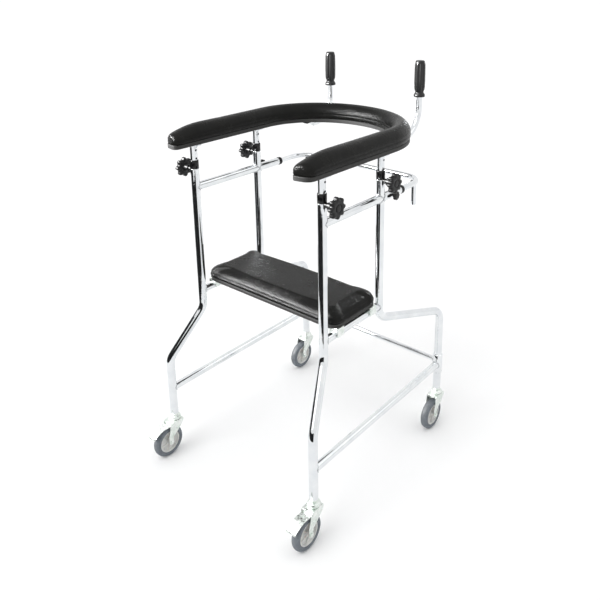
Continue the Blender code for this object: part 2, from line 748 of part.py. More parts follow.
def castor_tyre(tag):
    centre, across = wheel_centre(tag)
    inner, wide = RIM_R + GAP, TYRE_HALF_WIDTH
    half = [(inner, wide - 0.0015), (inner + 0.0040, wide), (WHEEL_R - 0.0045, wide - 0.0012),
            (WHEEL_R - 0.0010, wide - 0.0055)]
    profile = [(r, -z) for r, z in half] + [(WHEEL_R, 0.0)] + [(r, z) for r, z in reversed(half)]
    turned_part("castor_tyre_" + tag, centre, across, profile, TYRE_SIDES, grey_rubber(), closed=True)


def brake_pedal(tag):
    """Bent plate with a barrel that turns between the fork legs."""
    swivel, trail, across = castor_frame(tag)
    pivot_u, pivot_z = PEDAL_PIVOT
    barrel = 0.0035
    outline = []
    for degrees in (60, 120, 180, 240, 300):
        angle = math.radians(degrees)
        outline.append((pivot_u + barrel * math.cos(angle), pivot_z + barrel * math.sin(angle)))
    outline += [(0.0300, 0.1035), (0.0560, 0.1055), (0.0870, 0.0935), (0.0905, 0.0880), (0.0928, 0.0890),
                (0.0895, 0.0955), (0.0570, 0.1082), (0.0300, 0.1068)]
    half = FORK_HALF_IN - 0.0006
    bm = bmesh.new()
    extruded(bm, outline, lambda p, end: swivel + trail * p[0] + across * (-half, half)[end] + Vector((0, 0, p[1])))
    pivot = swivel + trail * pivot_u + Vector((0, 0, pivot_z))
    finish("brake_pedal_" + tag, bm, zinc(), pivot)


def build():
    clear_scene()
    for tag, side in (("L", -1), ("R", 1)):
        rear_leg("rear_leg_" + tag, side)
        front_leg("front_leg_" + tag, side)
        side_rails(tag, side)
        lower_rail("lower_rail_" + tag, side)
        rail_socket("rail_socket_" + tag, side)
        rail_collar("rail_collar_" + tag, side)
        thumb_screw("thumb_screw_" + tag, side)
        handle_stem("handle_stem_" + tag, side)
        grip("grip_" + tag, side)
        bow_holder("bow_holder_" + tag, side)
        for place, y in (("R", POST_REAR_Y), ("F", POST_FRONT_Y)):
            post_collar("post_collar_" + place + tag, side, y)
            inner_post("inner_post_" + place + tag, side, y)
            star_knob("star_knob_" + place + tag, side, y)
    front_cross_tube()
    front_bow()
    underarm_board()
    underarm_cushion()
    seat_board()
    seat_cushion()
    for tag in CASTORS:
        castor_stem(tag)
        castor_fork(tag)
        castor_hub(tag)
        castor_tyre(tag)
    for tag in ("RL", "RR"):
        brake_pedal(tag)


build()
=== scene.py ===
import math

import bmesh
import bpy
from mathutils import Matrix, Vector, noise
from mathutils.geometry import tessellate_polygon


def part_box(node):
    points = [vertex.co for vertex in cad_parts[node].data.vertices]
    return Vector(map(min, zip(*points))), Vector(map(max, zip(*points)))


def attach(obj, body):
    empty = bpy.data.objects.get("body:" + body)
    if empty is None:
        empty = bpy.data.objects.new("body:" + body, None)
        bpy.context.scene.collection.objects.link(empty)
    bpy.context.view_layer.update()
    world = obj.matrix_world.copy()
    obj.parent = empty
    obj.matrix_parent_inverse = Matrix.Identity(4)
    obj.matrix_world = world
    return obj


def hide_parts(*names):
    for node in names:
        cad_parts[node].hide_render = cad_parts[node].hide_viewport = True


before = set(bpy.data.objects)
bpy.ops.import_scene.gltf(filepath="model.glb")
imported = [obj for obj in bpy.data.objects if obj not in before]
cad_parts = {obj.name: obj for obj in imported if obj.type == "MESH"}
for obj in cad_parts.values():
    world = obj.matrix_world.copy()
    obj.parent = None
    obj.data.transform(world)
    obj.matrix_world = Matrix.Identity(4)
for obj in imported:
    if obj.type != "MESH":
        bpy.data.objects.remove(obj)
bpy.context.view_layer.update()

scene = bpy.context.scene
print("frame loaded:", len(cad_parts), "nodes")

layout = {  # metres, the same places as the solids
    "midY": -0.058, "postX": 0.244, "postReach": 0.126, "postTop": 0.9287,
    "legX": 0.292, "legRearY": -0.287, "legFrontY": 0.345, "legBottom": 0.137,
    "upperRailZ": 0.872, "seatRailZ": 0.538, "lowerRailZ": 0.2255, "crossTubeZ": 0.238,
    "tubeRadius": 0.0125, "innerRadius": 0.0108, "boreRadius": 0.0112, "gap": 0.0003,
}
postX, postTop, upperZ = layout["postX"], layout["postTop"], layout["upperRailZ"]
legX, legRearY, legFrontY = layout["legX"], layout["legRearY"], layout["legFrontY"]
tubeRadius, innerRadius, boreRadius = layout["tubeRadius"], layout["innerRadius"], layout["boreRadius"]
gap = layout["gap"]
postRearY = layout["midY"] - layout["postReach"]
postFrontY = layout["midY"] + layout["postReach"]
up = Vector((0, 0, 1))
ahead = Vector((0, 1, 0))
across = Vector((1, 0, 0))
sideOf = {"L": -1, "R": 1}
posts = {"RL": (-1, postRearY), "RR": (1, postRearY), "FL": (-1, postFrontY), "FR": (1, postFrontY)}


def hexLinear(code):
    parts = [int(code[i:i + 2], 16) / 255 for i in (1, 3, 5)]
    return [c / 12.92 if c <= 0.04045 else ((c + 0.055) / 1.055) ** 2.4 for c in parts] + [1.0]


def perMetre(millimetres):  # texture scale for a feature of that size
    return 1000.0 / millimetres


def addNode(tree, kind, settings=None, links=None):
    node = tree.nodes.new(kind)
    for key, value in (settings or {}).items():
        if isinstance(key, int) or key in node.inputs:
            node.inputs[key].default_value = value
        else:
            setattr(node, key, value)
    for key, socket in (links or {}).items():
        tree.links.new(socket, node.inputs[key])
    return node


def startMaterial(name, colour, settings):
    material = bpy.data.materials.new(name)
    material.use_nodes = True
    material.diffuse_color = hexLinear(colour)
    shader = material.node_tree.nodes["Principled BSDF"]
    for key, value in {"Base Color": hexLinear(colour), **settings}.items():
        shader.inputs[key].default_value = value
    return material, shader


noiseKind, cellKind = "ShaderNodeTexNoise", "ShaderNodeTexVoronoi"
patternLow, patternHigh = 0.3, 0.7  # part of a pattern's range that carries the change of colour and gloss


def makeFinish(name, base, settings, patterns, colours, roughs, bumps, stretch=None):
    # patterns give a kind, a feature in millimetres, settings and, if not 1, the value that counts as full;
    # colours, roughs and bumps name the pattern that drives them
    material, shader = startMaterial(name, base, settings)
    tree = material.node_tree
    place = addNode(tree, "ShaderNodeTexCoord").outputs["Object"]
    if stretch:
        place = addNode(tree, "ShaderNodeMapping", {"Scale": stretch}, {"Vector": place}).outputs[0]
    made = {}
    for label, (kind, feature, values, *full) in patterns.items():
        values = {"Scale": perMetre(feature), **values}
        made[label] = addNode(tree, kind, values, {"Vector": place}).outputs[0]
        if full:
            reach = {"From Min": 0.0, "From Max": full[0]}
            made[label] = addNode(tree, "ShaderNodeMapRange", reach, {"Value": made[label]}).outputs[0]
    pattern, *codes = colours
    ramp = addNode(tree, "ShaderNodeValToRGB", links={"Fac": made[pattern]})
    for element, position, code in zip(ramp.color_ramp.elements, (patternLow, patternHigh), codes):
        element.position = position
        element.color = hexLinear(code)
    tree.links.new(ramp.outputs["Color"], shader.inputs["Base Color"])
    pattern, low, high = roughs
    span = {"From Min": patternLow, "From Max": patternHigh, "To Min": low, "To Max": high}
    gloss = addNode(tree, "ShaderNodeMapRange", span, {"Value": made[pattern]})
    tree.links.new(gloss.outputs[0], shader.inputs["Roughness"])
    normal = {}
    for pattern, depth in bumps:
        values, links = {"Strength": 1.0, "Distance": depth}, {"Height": made[pattern], **normal}
        normal = {"Normal": addNode(tree, "ShaderNodeBump", values, links).outputs[0]}
    tree.links.new(normal["Normal"], shader.inputs["Normal"])
    return material


def mouldedBlack(name, colours, roughness, grit, depth, coat=0.0):
    return makeFinish(
        name, colours[0], {"Roughness": roughness, "IOR": 1.5, "Specular IOR Level": 0.3, "Coat Weight": coat,
                           "Coat Roughness": 0.12},
        {"grain": (noiseKind, grit, {"Detail": 3.0}), "wear": (noiseKind, 22, {"Detail": 4.0})},
        ("wear", *colours), ("wear", roughness * 0.85, roughness * 1.2), [("grain", depth)])


# bright chrome over polished steel: mirror reflections with a faint haze and drawn-tube ripple
chromePlatedSteel = makeFinish(
    "chromePlatedSteel", "#e9ebec", {"Roughness": 0.05, "Metallic": 1.0},
    {"haze": (noiseKind, 38, {"Detail": 4.0}), "ripple": (noiseKind, 14, {"Detail": 2.0})},
    ("haze", "#dcdfe2", "#e9ebec"), ("haze", 0.035, 0.09), [("ripple", 0.00012)])
# chrome over a weld bead: a little duller and lumpier than the tube
chromeOverWeld = makeFinish(
    "chromeOverWeld", "#c9cbcd", {"Roughness": 0.24, "Metallic": 1.0},
    {"ripple": (noiseKind, 2.2, {"Detail": 3.0})},
    ("ripple", "#b2b5b8", "#d6d8da"), ("ripple", 0.16, 0.34), [("ripple", 0.0004)])
# pressed steel, zinc plated and passivated: satin pale grey with a faint green cloud
zincPlatedSteel = makeFinish(
    "zincPlatedSteel", "#b9c2bb", {"Roughness": 0.36, "Metallic": 1.0},
    {"spangle": (cellKind, 7, {}), "cloud": (noiseKind, 16, {"Detail": 5.0})},
    ("cloud", "#d3dcd5", "#eef0ee"), ("spangle", 0.24, 0.38), [("cloud", 0.0002)])
# injection-moulded polyamide: near black, satin, with a fine spark-eroded grain
mouldedPolyamide = mouldedBlack("mouldedPolyamide", ("#0d0d0e", "#161617"), 0.38, 1.4, 0.00012)
# the same nylon, polished in the mould: rings on the tube ends with a crisp highlight
glossyPolyamide = mouldedBlack("glossyPolyamide", ("#101011", "#19191a"), 0.2, 1.4, 0.00005)
# dipped PVC grip: black with a wet shine along the flutes
dippedPvcGrip = mouldedBlack("dippedPvcGrip", ("#101011", "#1a1a1b"), 0.3, 2.4, 0.0001, 0.25)
# PVC-coated upholstery cloth: near black, soft gloss; its 1 mm pebble grain is drawn at 2.6 mm so it shows
grainedUpholsteryVinyl = makeFinish(
    "grainedUpholsteryVinyl", "#1b1b1a", {"Roughness": 0.5, "IOR": 1.5, "Specular IOR Level": 0.1},
    {"crease": (cellKind, 2.6, {"feature": "DISTANCE_TO_EDGE"}, 0.25),
     "drift": (noiseKind, 55, {"Detail": 5.0, "Roughness": 0.6})},
    ("drift", "#141413", "#1b1b19"), ("drift", 0.2, 0.3), [("drift", 0.0012), ("crease", 0.00018)])
# thermoplastic rubber tread: slate grey, matt, scuffed
slateTreadRubber = makeFinish(
    "slateTreadRubber", "#656c73", {"Roughness": 0.62, "IOR": 1.52},
    {"scuff": (noiseKind, 11, {"Detail": 6.0, "Roughness": 0.7}), "grit": (noiseKind, 1.6, {"Detail": 2.0})},
    ("scuff", "#565d64", "#767c82"), ("scuff", 0.5, 0.72), [("grit", 0.00025)])
# moulded nylon wheel centre: pale warm grey, slightly waxy
paleMouldedNylon = makeFinish(
    "paleMouldedNylon", "#cfcfcb", {"Roughness": 0.42, "IOR": 1.53, "Subsurface Weight": 0.05},
    {"drift": (noiseKind, 18, {"Detail": 4.0}), "grain": (noiseKind, 1.8, {})},
    ("drift", "#bfbfbd", "#dcdbd7"), ("drift", 0.34, 0.5), [("grain", 0.0001)])
# plywood under the pads, painted black, grain still telegraphing through
blackPaintedPly = makeFinish(
    "blackPaintedPly", "#1d1d1c", {"Roughness": 0.62, "IOR": 1.5}, {"grain": (noiseKind, 3, {"Detail": 5.0})},
    ("grain", "#171716", "#262523"), ("grain", 0.5, 0.72), [("grain", 0.0004)], stretch=(1.0, 0.12, 1.0))
print("materials made:", len(bpy.data.materials))


def ringAt(centre, first, second, radius, count, wave=0, depth=0.0, power=1.0):
    ring = []
    for i in range(count):
        angle = math.tau * i / count
        swing = math.cos(wave * angle)
        reach = radius + depth * math.copysign(abs(swing) ** power, swing)
        outward = math.cos(angle) * Vector(first) + math.sin(angle) * Vector(second)
        ring.append(Vector(centre) + reach * outward)
    return ring


def bentPath(corners, radius, steps):  # every inner corner becomes an arc
    points = [Vector(corners[0])]
    for before, here, after in zip(corners, corners[1:], corners[2:]):
        here = Vector(here)
        toBefore = (Vector(before) - here).normalized()
        toAfter = (Vector(after) - here).normalized()
        half = toBefore.angle(toAfter) / 2
        centre = here + (toBefore + toAfter).normalized() * (radius / math.sin(half))
        start = here + toBefore * (radius / math.tan(half)) - centre
        end = here + toAfter * (radius / math.tan(half)) - centre
        sweep = start.angle(end)
        for k in range(steps + 1):
            share = k / steps
            reach = start * math.sin((1 - share) * sweep) + end * math.sin(share * sweep)
            points.append(centre + reach / math.sin(sweep))
    points.append(Vector(corners[-1]))
    return points


def ringsAlong(points, radius, count, firstSide):
    rings = []
    side = Vector(firstSide)
    for i, point in enumerate(points):
        onward = (points[min(i + 1, len(points) - 1)] - point).normalized()
        behind = (point - points[max(i - 1, 0)]).normalized()
        along = (onward + behind).normalized()
        side = (side - along * side.dot(along)).normalized()
        rings.append(ringAt(point, side, along.cross(side), radius, count))
    return rings


def skin(bm, rings, closed=False, ends=True):
    made = [[bm.verts.new(p) for p in ring] for ring in rings]
    count = len(made[0])
    for low, high in zip(made, made[1:] + ([made[0]] if closed else [])):
        for i in range(count):
            j = (i + 1) % count
            bm.faces.new((low[i], low[j], high[j], high[i]))
    if ends and not closed:
        bm.faces.new(made[0])
        bm.faces.new(list(reversed(made[-1])))
    return made


def saddleRing(foot, along, radius, met, count):  # end of a level tube that meets a round tube square on
    sideways = along.cross(up)
    ring = []
    for i in range(count):
        angle = math.tau * i / count
        swing = radius * math.cos(angle)
        reach = math.sqrt(max(met ** 2 - swing ** 2, 0.0))
        ring.append(Vector(foot) + along * reach + sideways * swing + up * (radius * math.sin(angle)))
    return ring


def saddleCap(bm, ring):
    count = len(ring)
    for i in range(count // 2):
        corners = [ring[i], ring[i + 1], ring[(count - i - 1) % count], ring[(count - i) % count]]
        corners = list(dict.fromkeys(corners))
        if len(corners) > 2:
            bm.faces.new(corners)


def lathe(bm, centre, axis, profile, count, closed=False, wave=0, power=1.0):  # rows: radius, height, wave
    axis = Vector(axis).normalized()
    first = across if abs(axis.z) > 0.5 else up
    second = axis.cross(first)
    rings = []
    for row in profile:
        depth = row[2] if len(row) > 2 else 0.0
        rings.append(ringAt(Vector(centre) + axis * row[1], first, second, row[0], count, wave, depth, power))
    skin(bm, rings, closed)


def prism(bm, outline, place):  # place(point, end) gives the position on end 0 or 1
    near = [bm.verts.new(place(p, 0)) for p in outline]
    far = [bm.verts.new(place(p, 1)) for p in outline]
    bm.faces.new(near)
    bm.faces.new(list(reversed(far)))
    for i in range(len(outline)):
        j = (i + 1) % len(outline)
        bm.faces.new((near[i], near[j], far[j], far[i]))


def linkMesh(name, bm, material):
    mesh = bpy.data.meshes.new(name)
    bm.to_mesh(mesh)
    bm.free()
    mesh.materials.append(material)
    piece = bpy.data.objects.new(name, mesh)
    scene.collection.objects.link(piece)
    return piece


def dress(piece, body, stands=""):
    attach(piece, body)
    if stands:
        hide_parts(stands)


def makePiece(name, bm, material, body, stands="", sharp=35, soften=0.0, steps=2):
    bmesh.ops.recalc_face_normals(bm, faces=bm.faces[:])
    piece = linkMesh(name, bm, material)
    piece.data.shade_smooth()
    piece.data.set_sharp_from_angle(angle=math.radians(sharp))
    if soften:
        edge = piece.modifiers.new("softEdge", "BEVEL")
        edge.width = soften
        edge.segments = steps
        edge.limit_method = "ANGLE"
        edge.angle_limit = math.radians(sharp)
        edge.harden_normals = False
    if body:
        dress(piece, body, stands)
    return piece


def turned(name, material, body, centre, axis, profile, count, closed=False, wave=0, power=1.0, **finish):
    bm = bmesh.new()
    lathe(bm, centre, axis, profile, count, closed, wave, power)
    return makePiece(name, bm, material, body, **finish)


def skinned(name, material, body, rings, closed=False, **finish):
    bm = bmesh.new()
    skin(bm, rings, closed)
    return makePiece(name, bm, material, body, **finish)


def bakeModifiers(piece):
    graph = bpy.context.evaluated_depsgraph_get()
    mesh = bpy.data.meshes.new_from_object(piece.evaluated_get(graph))
    piece.modifiers.clear()
    piece.data = mesh
    mesh.name = piece.name


def cutAway(piece, cutterMesh):
    cutter = bpy.data.objects.new("cutter", bpy.data.meshes.new("cutter"))
    cutterMesh.to_mesh(cutter.data)
    cutterMesh.free()
    scene.collection.objects.link(cutter)
    cut = piece.modifiers.new("cut", "BOOLEAN")
    cut.operation = "DIFFERENCE"
    cut.solver = "EXACT"
    cut.object = cutter
    bakeModifiers(piece)
    bpy.data.objects.remove(cutter)
    piece.data.shade_smooth()
    piece.data.set_sharp_from_angle(angle=math.radians(35))


# a ring held back from a rim or sleeve keeps the shading of the long walls level
tubes = {"round": 48, "bendSteps": 20, "rearBend": (0.482, 0.328, 0.055), "frontBend": (0.5, 0.422, 0.042),
         "boreBottom": 0.69, "rimRound": 0.0006, "holdBack": 0.0018}
rails = {"seatRailRadius": 0.011, "lowerRailRadius": 0.0115, "crossTubeRadius": 0.008, "round": 40}
sleeves = {"radius": 0.0155, "bottom": 0.196, "top": 0.262, "edge": 0.0015, "foot": 0.0012, "lip": 0.0009}
welds = {"bead": 0.0016, "steps": 96, "round": 10, "ripples": 26, "ripple": 0.13, "uneven": 0.12,
         "unevenScale": 400}


def legTube(name, side, postY, legY, bend, sleeve=()):
    bendTop, bendLow, bendRadius = bend
    corners = [(side * legX, legY, layout["legBottom"]), (side * legX, legY, bendLow),
               (side * postX, postY, bendTop), (side * postX, postY, postTop)]
    points = bentPath(corners, bendRadius, tubes["bendSteps"])
    rings = ringsAlong(points, tubeRadius, tubes["round"], across)
    rim = tubes["rimRound"]
    top = rings.pop()
    centre = points[-1]
    share = boreRadius / tubeRadius
    lips = [(1.0, rim + tubes["holdBack"]), (1.0, rim), (1.0 - 0.4 * (1 - share), 0.0),
            (share + 0.3 * (1 - share), 0.0), (share, rim), (share, postTop - tubes["boreBottom"])]
    for scale, drop in lips:
        rings.append([centre + (p - centre) * scale - up * drop for p in top])
    foot, start = rings[0], points[0]
    for z, radius in reversed(sleeve):
        rings.insert(1, [Vector((start.x, start.y, z)) + (p - start) * (radius / tubeRadius) for p in foot])
    skinned(name + "_tube", chromePlatedSteel, "frame", rings, stands=name, sharp=50)


def weldBead(name, foot, along, radius, met):
    size = welds["bead"]
    ring = saddleRing(foot, along, radius + size * 0.35, met + size * 0.2, welds["steps"])
    rings = []
    count = len(ring)
    for i, point in enumerate(ring):
        onward = (ring[(i + 1) % count] - ring[i - 1]).normalized()
        outward = (point - (Vector(foot) + along * (point - Vector(foot)).dot(along))).normalized()
        third = onward.cross(outward)
        ripple = welds["ripple"] * math.sin(math.tau * i * welds["ripples"] / count)
        wide = size * (1 + ripple + welds["uneven"] * noise.noise(point * welds["unevenScale"]))
        rings.append(ringAt(point, outward, third, wide, welds["round"]))
    skinned(name, chromeOverWeld, "frame", rings, closed=True, sharp=80)


def straightRail(name, start, end, radius, metStart, metEnd):
    start, end = Vector(start), Vector(end)
    along = (end - start).normalized()
    count = rails["round"]
    near = saddleRing(start, along, radius, metStart + gap, count)
    far = saddleRing(end, -along, radius, metEnd + gap, count)
    far = [far[(count // 2 - i) % count] for i in range(count)]
    bm = bmesh.new()
    made = skin(bm, [near, far], ends=False)
    saddleCap(bm, made[0])
    saddleCap(bm, made[1])
    makePiece(name + "_tube", bm, chromePlatedSteel, "frame", name, sharp=50)
    weldBead(name + "_weld_1", start, along, radius, metStart)
    weldBead(name + "_weld_2", end, -along, radius, metEnd)


def makeFrame():
    wide, lip, foot = sleeves["radius"], tubeRadius + sleeves["lip"], -sleeves["foot"]
    edge = [(foot - tubes["holdBack"], tubeRadius), (foot, tubeRadius), (0.0, lip), (0.0003, wide - 0.0008),
            (sleeves["edge"], wide)]
    sleeve = [(sleeves["bottom"] + z, r) for z, r in edge]
    sleeve += [(sleeves["top"] - z, r) for z, r in reversed(edge)]
    for tag, side in sideOf.items():
        legTube("rear_leg_" + tag, side, postRearY, legRearY, tubes["rearBend"])
        legTube("front_leg_" + tag, side, postFrontY, legFrontY, tubes["frontBend"], sleeve)
        for name, z, radius in (("upper_rail_", upperZ, tubeRadius),
                                ("seat_rail_", layout["seatRailZ"], rails["seatRailRadius"])):
            ends = [(side * postX, y, z) for y in (postRearY, postFrontY)]
            straightRail(name + tag, *ends, radius, tubeRadius, tubeRadius)
        ends = [(side * legX, y, layout["lowerRailZ"]) for y in (legRearY, legFrontY)]
        straightRail("lower_rail_" + tag, *ends, rails["lowerRailRadius"], tubeRadius, wide)
    ends = [(x, legFrontY, layout["crossTubeZ"]) for x in (-legX, legX)]
    straightRail("front_cross_tube", *ends, rails["crossTubeRadius"], wide, wide)


makeFrame()
print("tube frame done")

sockets = {"endY": 0.161, "boreY": 0.0875, "collarLength": 0.014, "thumbY": 0.114, "thumbRadius": 0.0125,
           "thumbLobe": 0.0009, "thumbLobes": 8}
collars = {"radius": 0.0128, "top": 0.955, "knobZ": 0.925, "bossRadius": 0.0072, "bossReach": 0.0095,
           "bossBore": 0.0042}
bow = {"tailY": 0.092, "frontY": 0.296, "bend": 0.062, "radius": 0.0085}


def railSocket(tag, side):
    name = "rail_socket_" + tag
    foot = Vector((side * postX, postFrontY, upperZ))
    near = saddleRing(foot, ahead, tubeRadius, tubeRadius + gap, tubes["round"])
    rings = [near]
    rim, hold = sockets["endY"], tubes["holdBack"]
    for y, radius in ((rim - 0.0005 - hold, tubeRadius), (rim - 0.0005, tubeRadius), (rim, 0.0122),
                      (rim, 0.0114), (rim - 0.0004, boreRadius), (sockets["boreY"], boreRadius)):
        share = radius / tubeRadius
        rings.append([Vector((foot.x + (p.x - foot.x) * share, y, foot.z + (p.z - foot.z) * share))
                      for p in near])
    bm = bmesh.new()
    made = skin(bm, rings, ends=False)
    saddleCap(bm, made[0])
    bm.faces.new(made[-1])
    makePiece(name + "_tube", bm, chromePlatedSteel, "frame", name, sharp=50)
    weldBead(name + "_weld", foot, ahead, tubeRadius, tubeRadius)


def guideCollar(name, foot, axis, start, end, slide):  # moulded ring on a tube end, outer edge rolled
    wide = collars["radius"]
    rolled = [(0.0, 0.003), (0.0002, 0.0018), (0.0006, 0.0009), (0.0011, 0.0003), (0.0015, 0.0)]
    profile = [(slide, start), (wide - 0.0004, start), (wide, start + 0.0004)]
    profile += [(wide - inset, end - drop) for inset, drop in rolled] + [(slide, end)]
    turned(name + "_ring", glossyPolyamide, "frame", foot, axis, profile, 64, closed=True, stands=name,
           sharp=50)


def railCollar(tag, side):
    start = sockets["endY"] + gap
    end = start + sockets["collarLength"]
    guideCollar("rail_collar_" + tag, (side * postX, 0, upperZ), ahead, start, end, bow["radius"] + gap)


def thumbScrew(tag, side):  # small lobed knob on the outside of a rail end
    name = "thumb_screw_" + tag
    radius, lobe = sockets["thumbRadius"], sockets["thumbLobe"]
    profile = [(0.0028, 0.0), (0.003, 0.0006), (0.0028, 0.0012), (0.003, 0.0018), (0.0028, 0.0024),
               (0.003, 0.0038), (0.0078, 0.0041), (0.0088, 0.0046)]
    crown = [(0.0012, 0.0058, 0.8), (0.0002, 0.007, 1), (0.0, 0.0085, 1), (0.0, 0.0118, 1),
             (0.0004, 0.013, 1), (0.0016, 0.0139, 0.8)]
    profile += [(radius - inset, height, lobe * share) for inset, height, share in crown]
    profile += [(0.008, 0.0144, lobe * 0.3), (0.0055, 0.0145), (0.0048, 0.0138)]
    start = (side * (postX + tubeRadius + gap), sockets["thumbY"], upperZ)
    turned(name + "_knob", mouldedPolyamide, "thumb_" + tag, start, across * side, profile, 96,
           wave=sockets["thumbLobes"], stands=name)


def postCollar(tag, side, y):
    x = side * postX
    guideCollar("post_collar_" + tag, (x, y, 0), up, postTop + gap, collars["top"], innerRadius + gap)
    start, reach = tubeRadius - 0.0006, tubeRadius + collars["bossReach"]
    wide, bore = collars["bossRadius"], collars["bossBore"]
    boss = [(bore, start), (wide, start), (wide, reach - 0.0008), (wide - 0.0008, reach), (bore, reach)]
    turned("knob_boss_" + tag, mouldedPolyamide, "frame", (x, y, collars["knobZ"]), across * side, boss, 40,
           closed=True)


innerPosts = {"bottom": 0.7, "wall": 0.0013, "plateBottom": 0.999, "plateTop": 1.0037, "plateRadius": 0.024,
              "plateEdge": 0.0006, "holeRadius": 0.0032, "holePitch": 0.025, "firstHole": 0.735,
              "lastHole": 0.99, "weldBead": 0.0017, "weldSteps": 72, "weldRipples": 22, "weldRipple": 0.14,
              "screws": 3, "screwRing": 0.0175, "screwRadius": 0.0031, "screwTall": 0.0016}


def panHead(name, spot, radius, tall):  # screw driven upwards, seen from below
    profile = [(radius, 0.0), (radius, tall * 0.35), (radius * 0.92, tall * 0.7), (radius * 0.7, tall * 0.95),
               (radius * 0.42, tall), (radius * 0.36, tall * 0.45)]
    turned(name, zincPlatedSteel, "armrest", spot, -up, profile, 24, sharp=50)


def innerPost(tag, side, y):
    name = "inner_post_" + tag
    foot = Vector((side * postX, y, 0))
    radius, wall = innerRadius, innerRadius - innerPosts["wall"]
    low, high = innerPosts["bottom"], innerPosts["plateBottom"]
    profile = [(wall, low), (radius - 0.0004, low), (radius, low + 0.0004), (radius, high), (wall, high)]
    post = turned(name + "_tube", chromePlatedSteel, None, foot, up, profile, 48, closed=True)
    drill = bmesh.new()
    hole = innerPosts["holeRadius"]
    z = innerPosts["firstHole"]
    while z <= innerPosts["lastHole"]:
        lathe(drill, foot + up * z, across, [(hole, -0.02), (hole, 0.02)], 20)
        z += innerPosts["holePitch"]
    cutAway(post, drill)
    dress(post, "armrest", name)
    plate, top, edge = innerPosts["plateRadius"], innerPosts["plateTop"], innerPosts["plateEdge"]
    profile = [(plate - edge, high), (plate, high + edge), (plate, top - edge), (plate - edge, top)]
    turned("post_plate_" + tag, chromePlatedSteel, "armrest", foot, up, profile, 64)
    rings = []
    for i in range(innerPosts["weldSteps"]):
        angle = math.tau * i / innerPosts["weldSteps"]
        outward = Vector((math.cos(angle), math.sin(angle), 0))
        ripple = innerPosts["weldRipple"] * math.sin(angle * innerPosts["weldRipples"])
        size = innerPosts["weldBead"] * (1 + ripple)
        spot = foot + up * (high - 0.0004) + outward * (radius + 0.0004)
        rings.append(ringAt(spot, outward, up, size, 10))
    skinned(f"post_plate_{tag}_weld", chromeOverWeld, "armrest", rings, closed=True, sharp=80)
    reach = innerPosts["screwRing"]
    for k in range(innerPosts["screws"]):
        angle = math.radians(90 * side + 360 / innerPosts["screws"] * k + 30)
        spot = (side * postX + reach * math.cos(angle), y + reach * math.sin(angle), high)
        panHead(f"plate_screw_{tag}_{k}", spot, innerPosts["screwRadius"], innerPosts["screwTall"])


starKnobs = {"inner": 0.283, "outer": 0.299, "radius": 0.0262, "lobe": 0.003, "lobes": 8, "capRadius": 0.0095,
             "studLength": 0.01, "studTurns": 12, "studRoot": 0.0032, "studCrest": 0.0037}


def starKnob(tag, side, y):
    name, body = "star_knob_" + tag, "knob_" + tag
    post = postX + tubeRadius + gap
    inner, outer = starKnobs["inner"] - post, starKnobs["outer"] - post
    radius, lobe, cap = starKnobs["radius"], starKnobs["lobe"], starKnobs["capRadius"]
    start = (side * post, y, collars["knobZ"])
    profile = [(0.01, 0.0102), (0.0108, 0.0106), (0.0122, inner - 0.0008), (0.0135, inner),
               (radius - 0.0042, inner + 0.0003, lobe * 0.8), (radius - 0.0012, inner + 0.0015, lobe),
               (radius, inner + 0.0036, lobe), (radius + 0.0001, (inner + outer) / 2, lobe)]
    crown = [(0.0, 0.0042, 1), (0.001, 0.002, 1), (0.0034, 0.0006, 0.85), (0.007, 0.0001, 0.55)]
    profile += [(radius - inset, outer - drop, lobe * share) for inset, drop, share in crown]
    profile += [(0.0135, outer - 0.0003, lobe * 0.15), (0.0118, outer - 0.001), (0.0112, outer - 0.0022),
                (cap + 0.0004, outer - 0.0024), (cap, outer - 0.0012), (0.008, outer - 0.0004),
                (0.0045, outer)]
    turned(name + "_moulding", mouldedPolyamide, body, start, across * side, profile, 128,
           wave=starKnobs["lobes"], power=0.8, stands=name, sharp=45)
    stud = []
    length, turns, root = starKnobs["studLength"], starKnobs["studTurns"], starKnobs["studRoot"]
    for k in range(turns):
        base = length * k / turns
        stud += [(root, base), (starKnobs["studCrest"], base + length / turns / 2)]
    stud.append((root, 0.0104))
    turned(name + "_stud", zincPlatedSteel, body, start, across * side, stud, 24, sharp=60)


for tag, side in sideOf.items():
    railSocket(tag, side)
    railCollar(tag, side)
    thumbScrew(tag, side)
for tag, (side, y) in posts.items():
    postCollar(tag, side, y)
    innerPost(tag, side, y)
    starKnob(tag, side, y)
print("posts, collars and knobs done")


def frontBow():
    corners = [(-postX, bow["tailY"], upperZ), (-postX, bow["frontY"], upperZ),
               (postX, bow["frontY"], upperZ), (postX, bow["tailY"], upperZ)]
    rings = ringsAlong(bentPath(corners, bow["bend"], 28), bow["radius"], 48, up)
    skinned("front_bow_tube", chromePlatedSteel, "bow", rings, stands="front_bow", sharp=50)


stems = {"x": 0.178, "radius": 0.0095, "frontY": 0.363, "low": 0.9928, "bend": 0.0838, "top": 1.196,
         "flatY": 0.252, "endY": 0.232, "halfWide": 0.013, "halfTall": 0.0028, "squeeze": 0.016,
         "screwRadius": 0.0045, "screwTall": 0.0026}


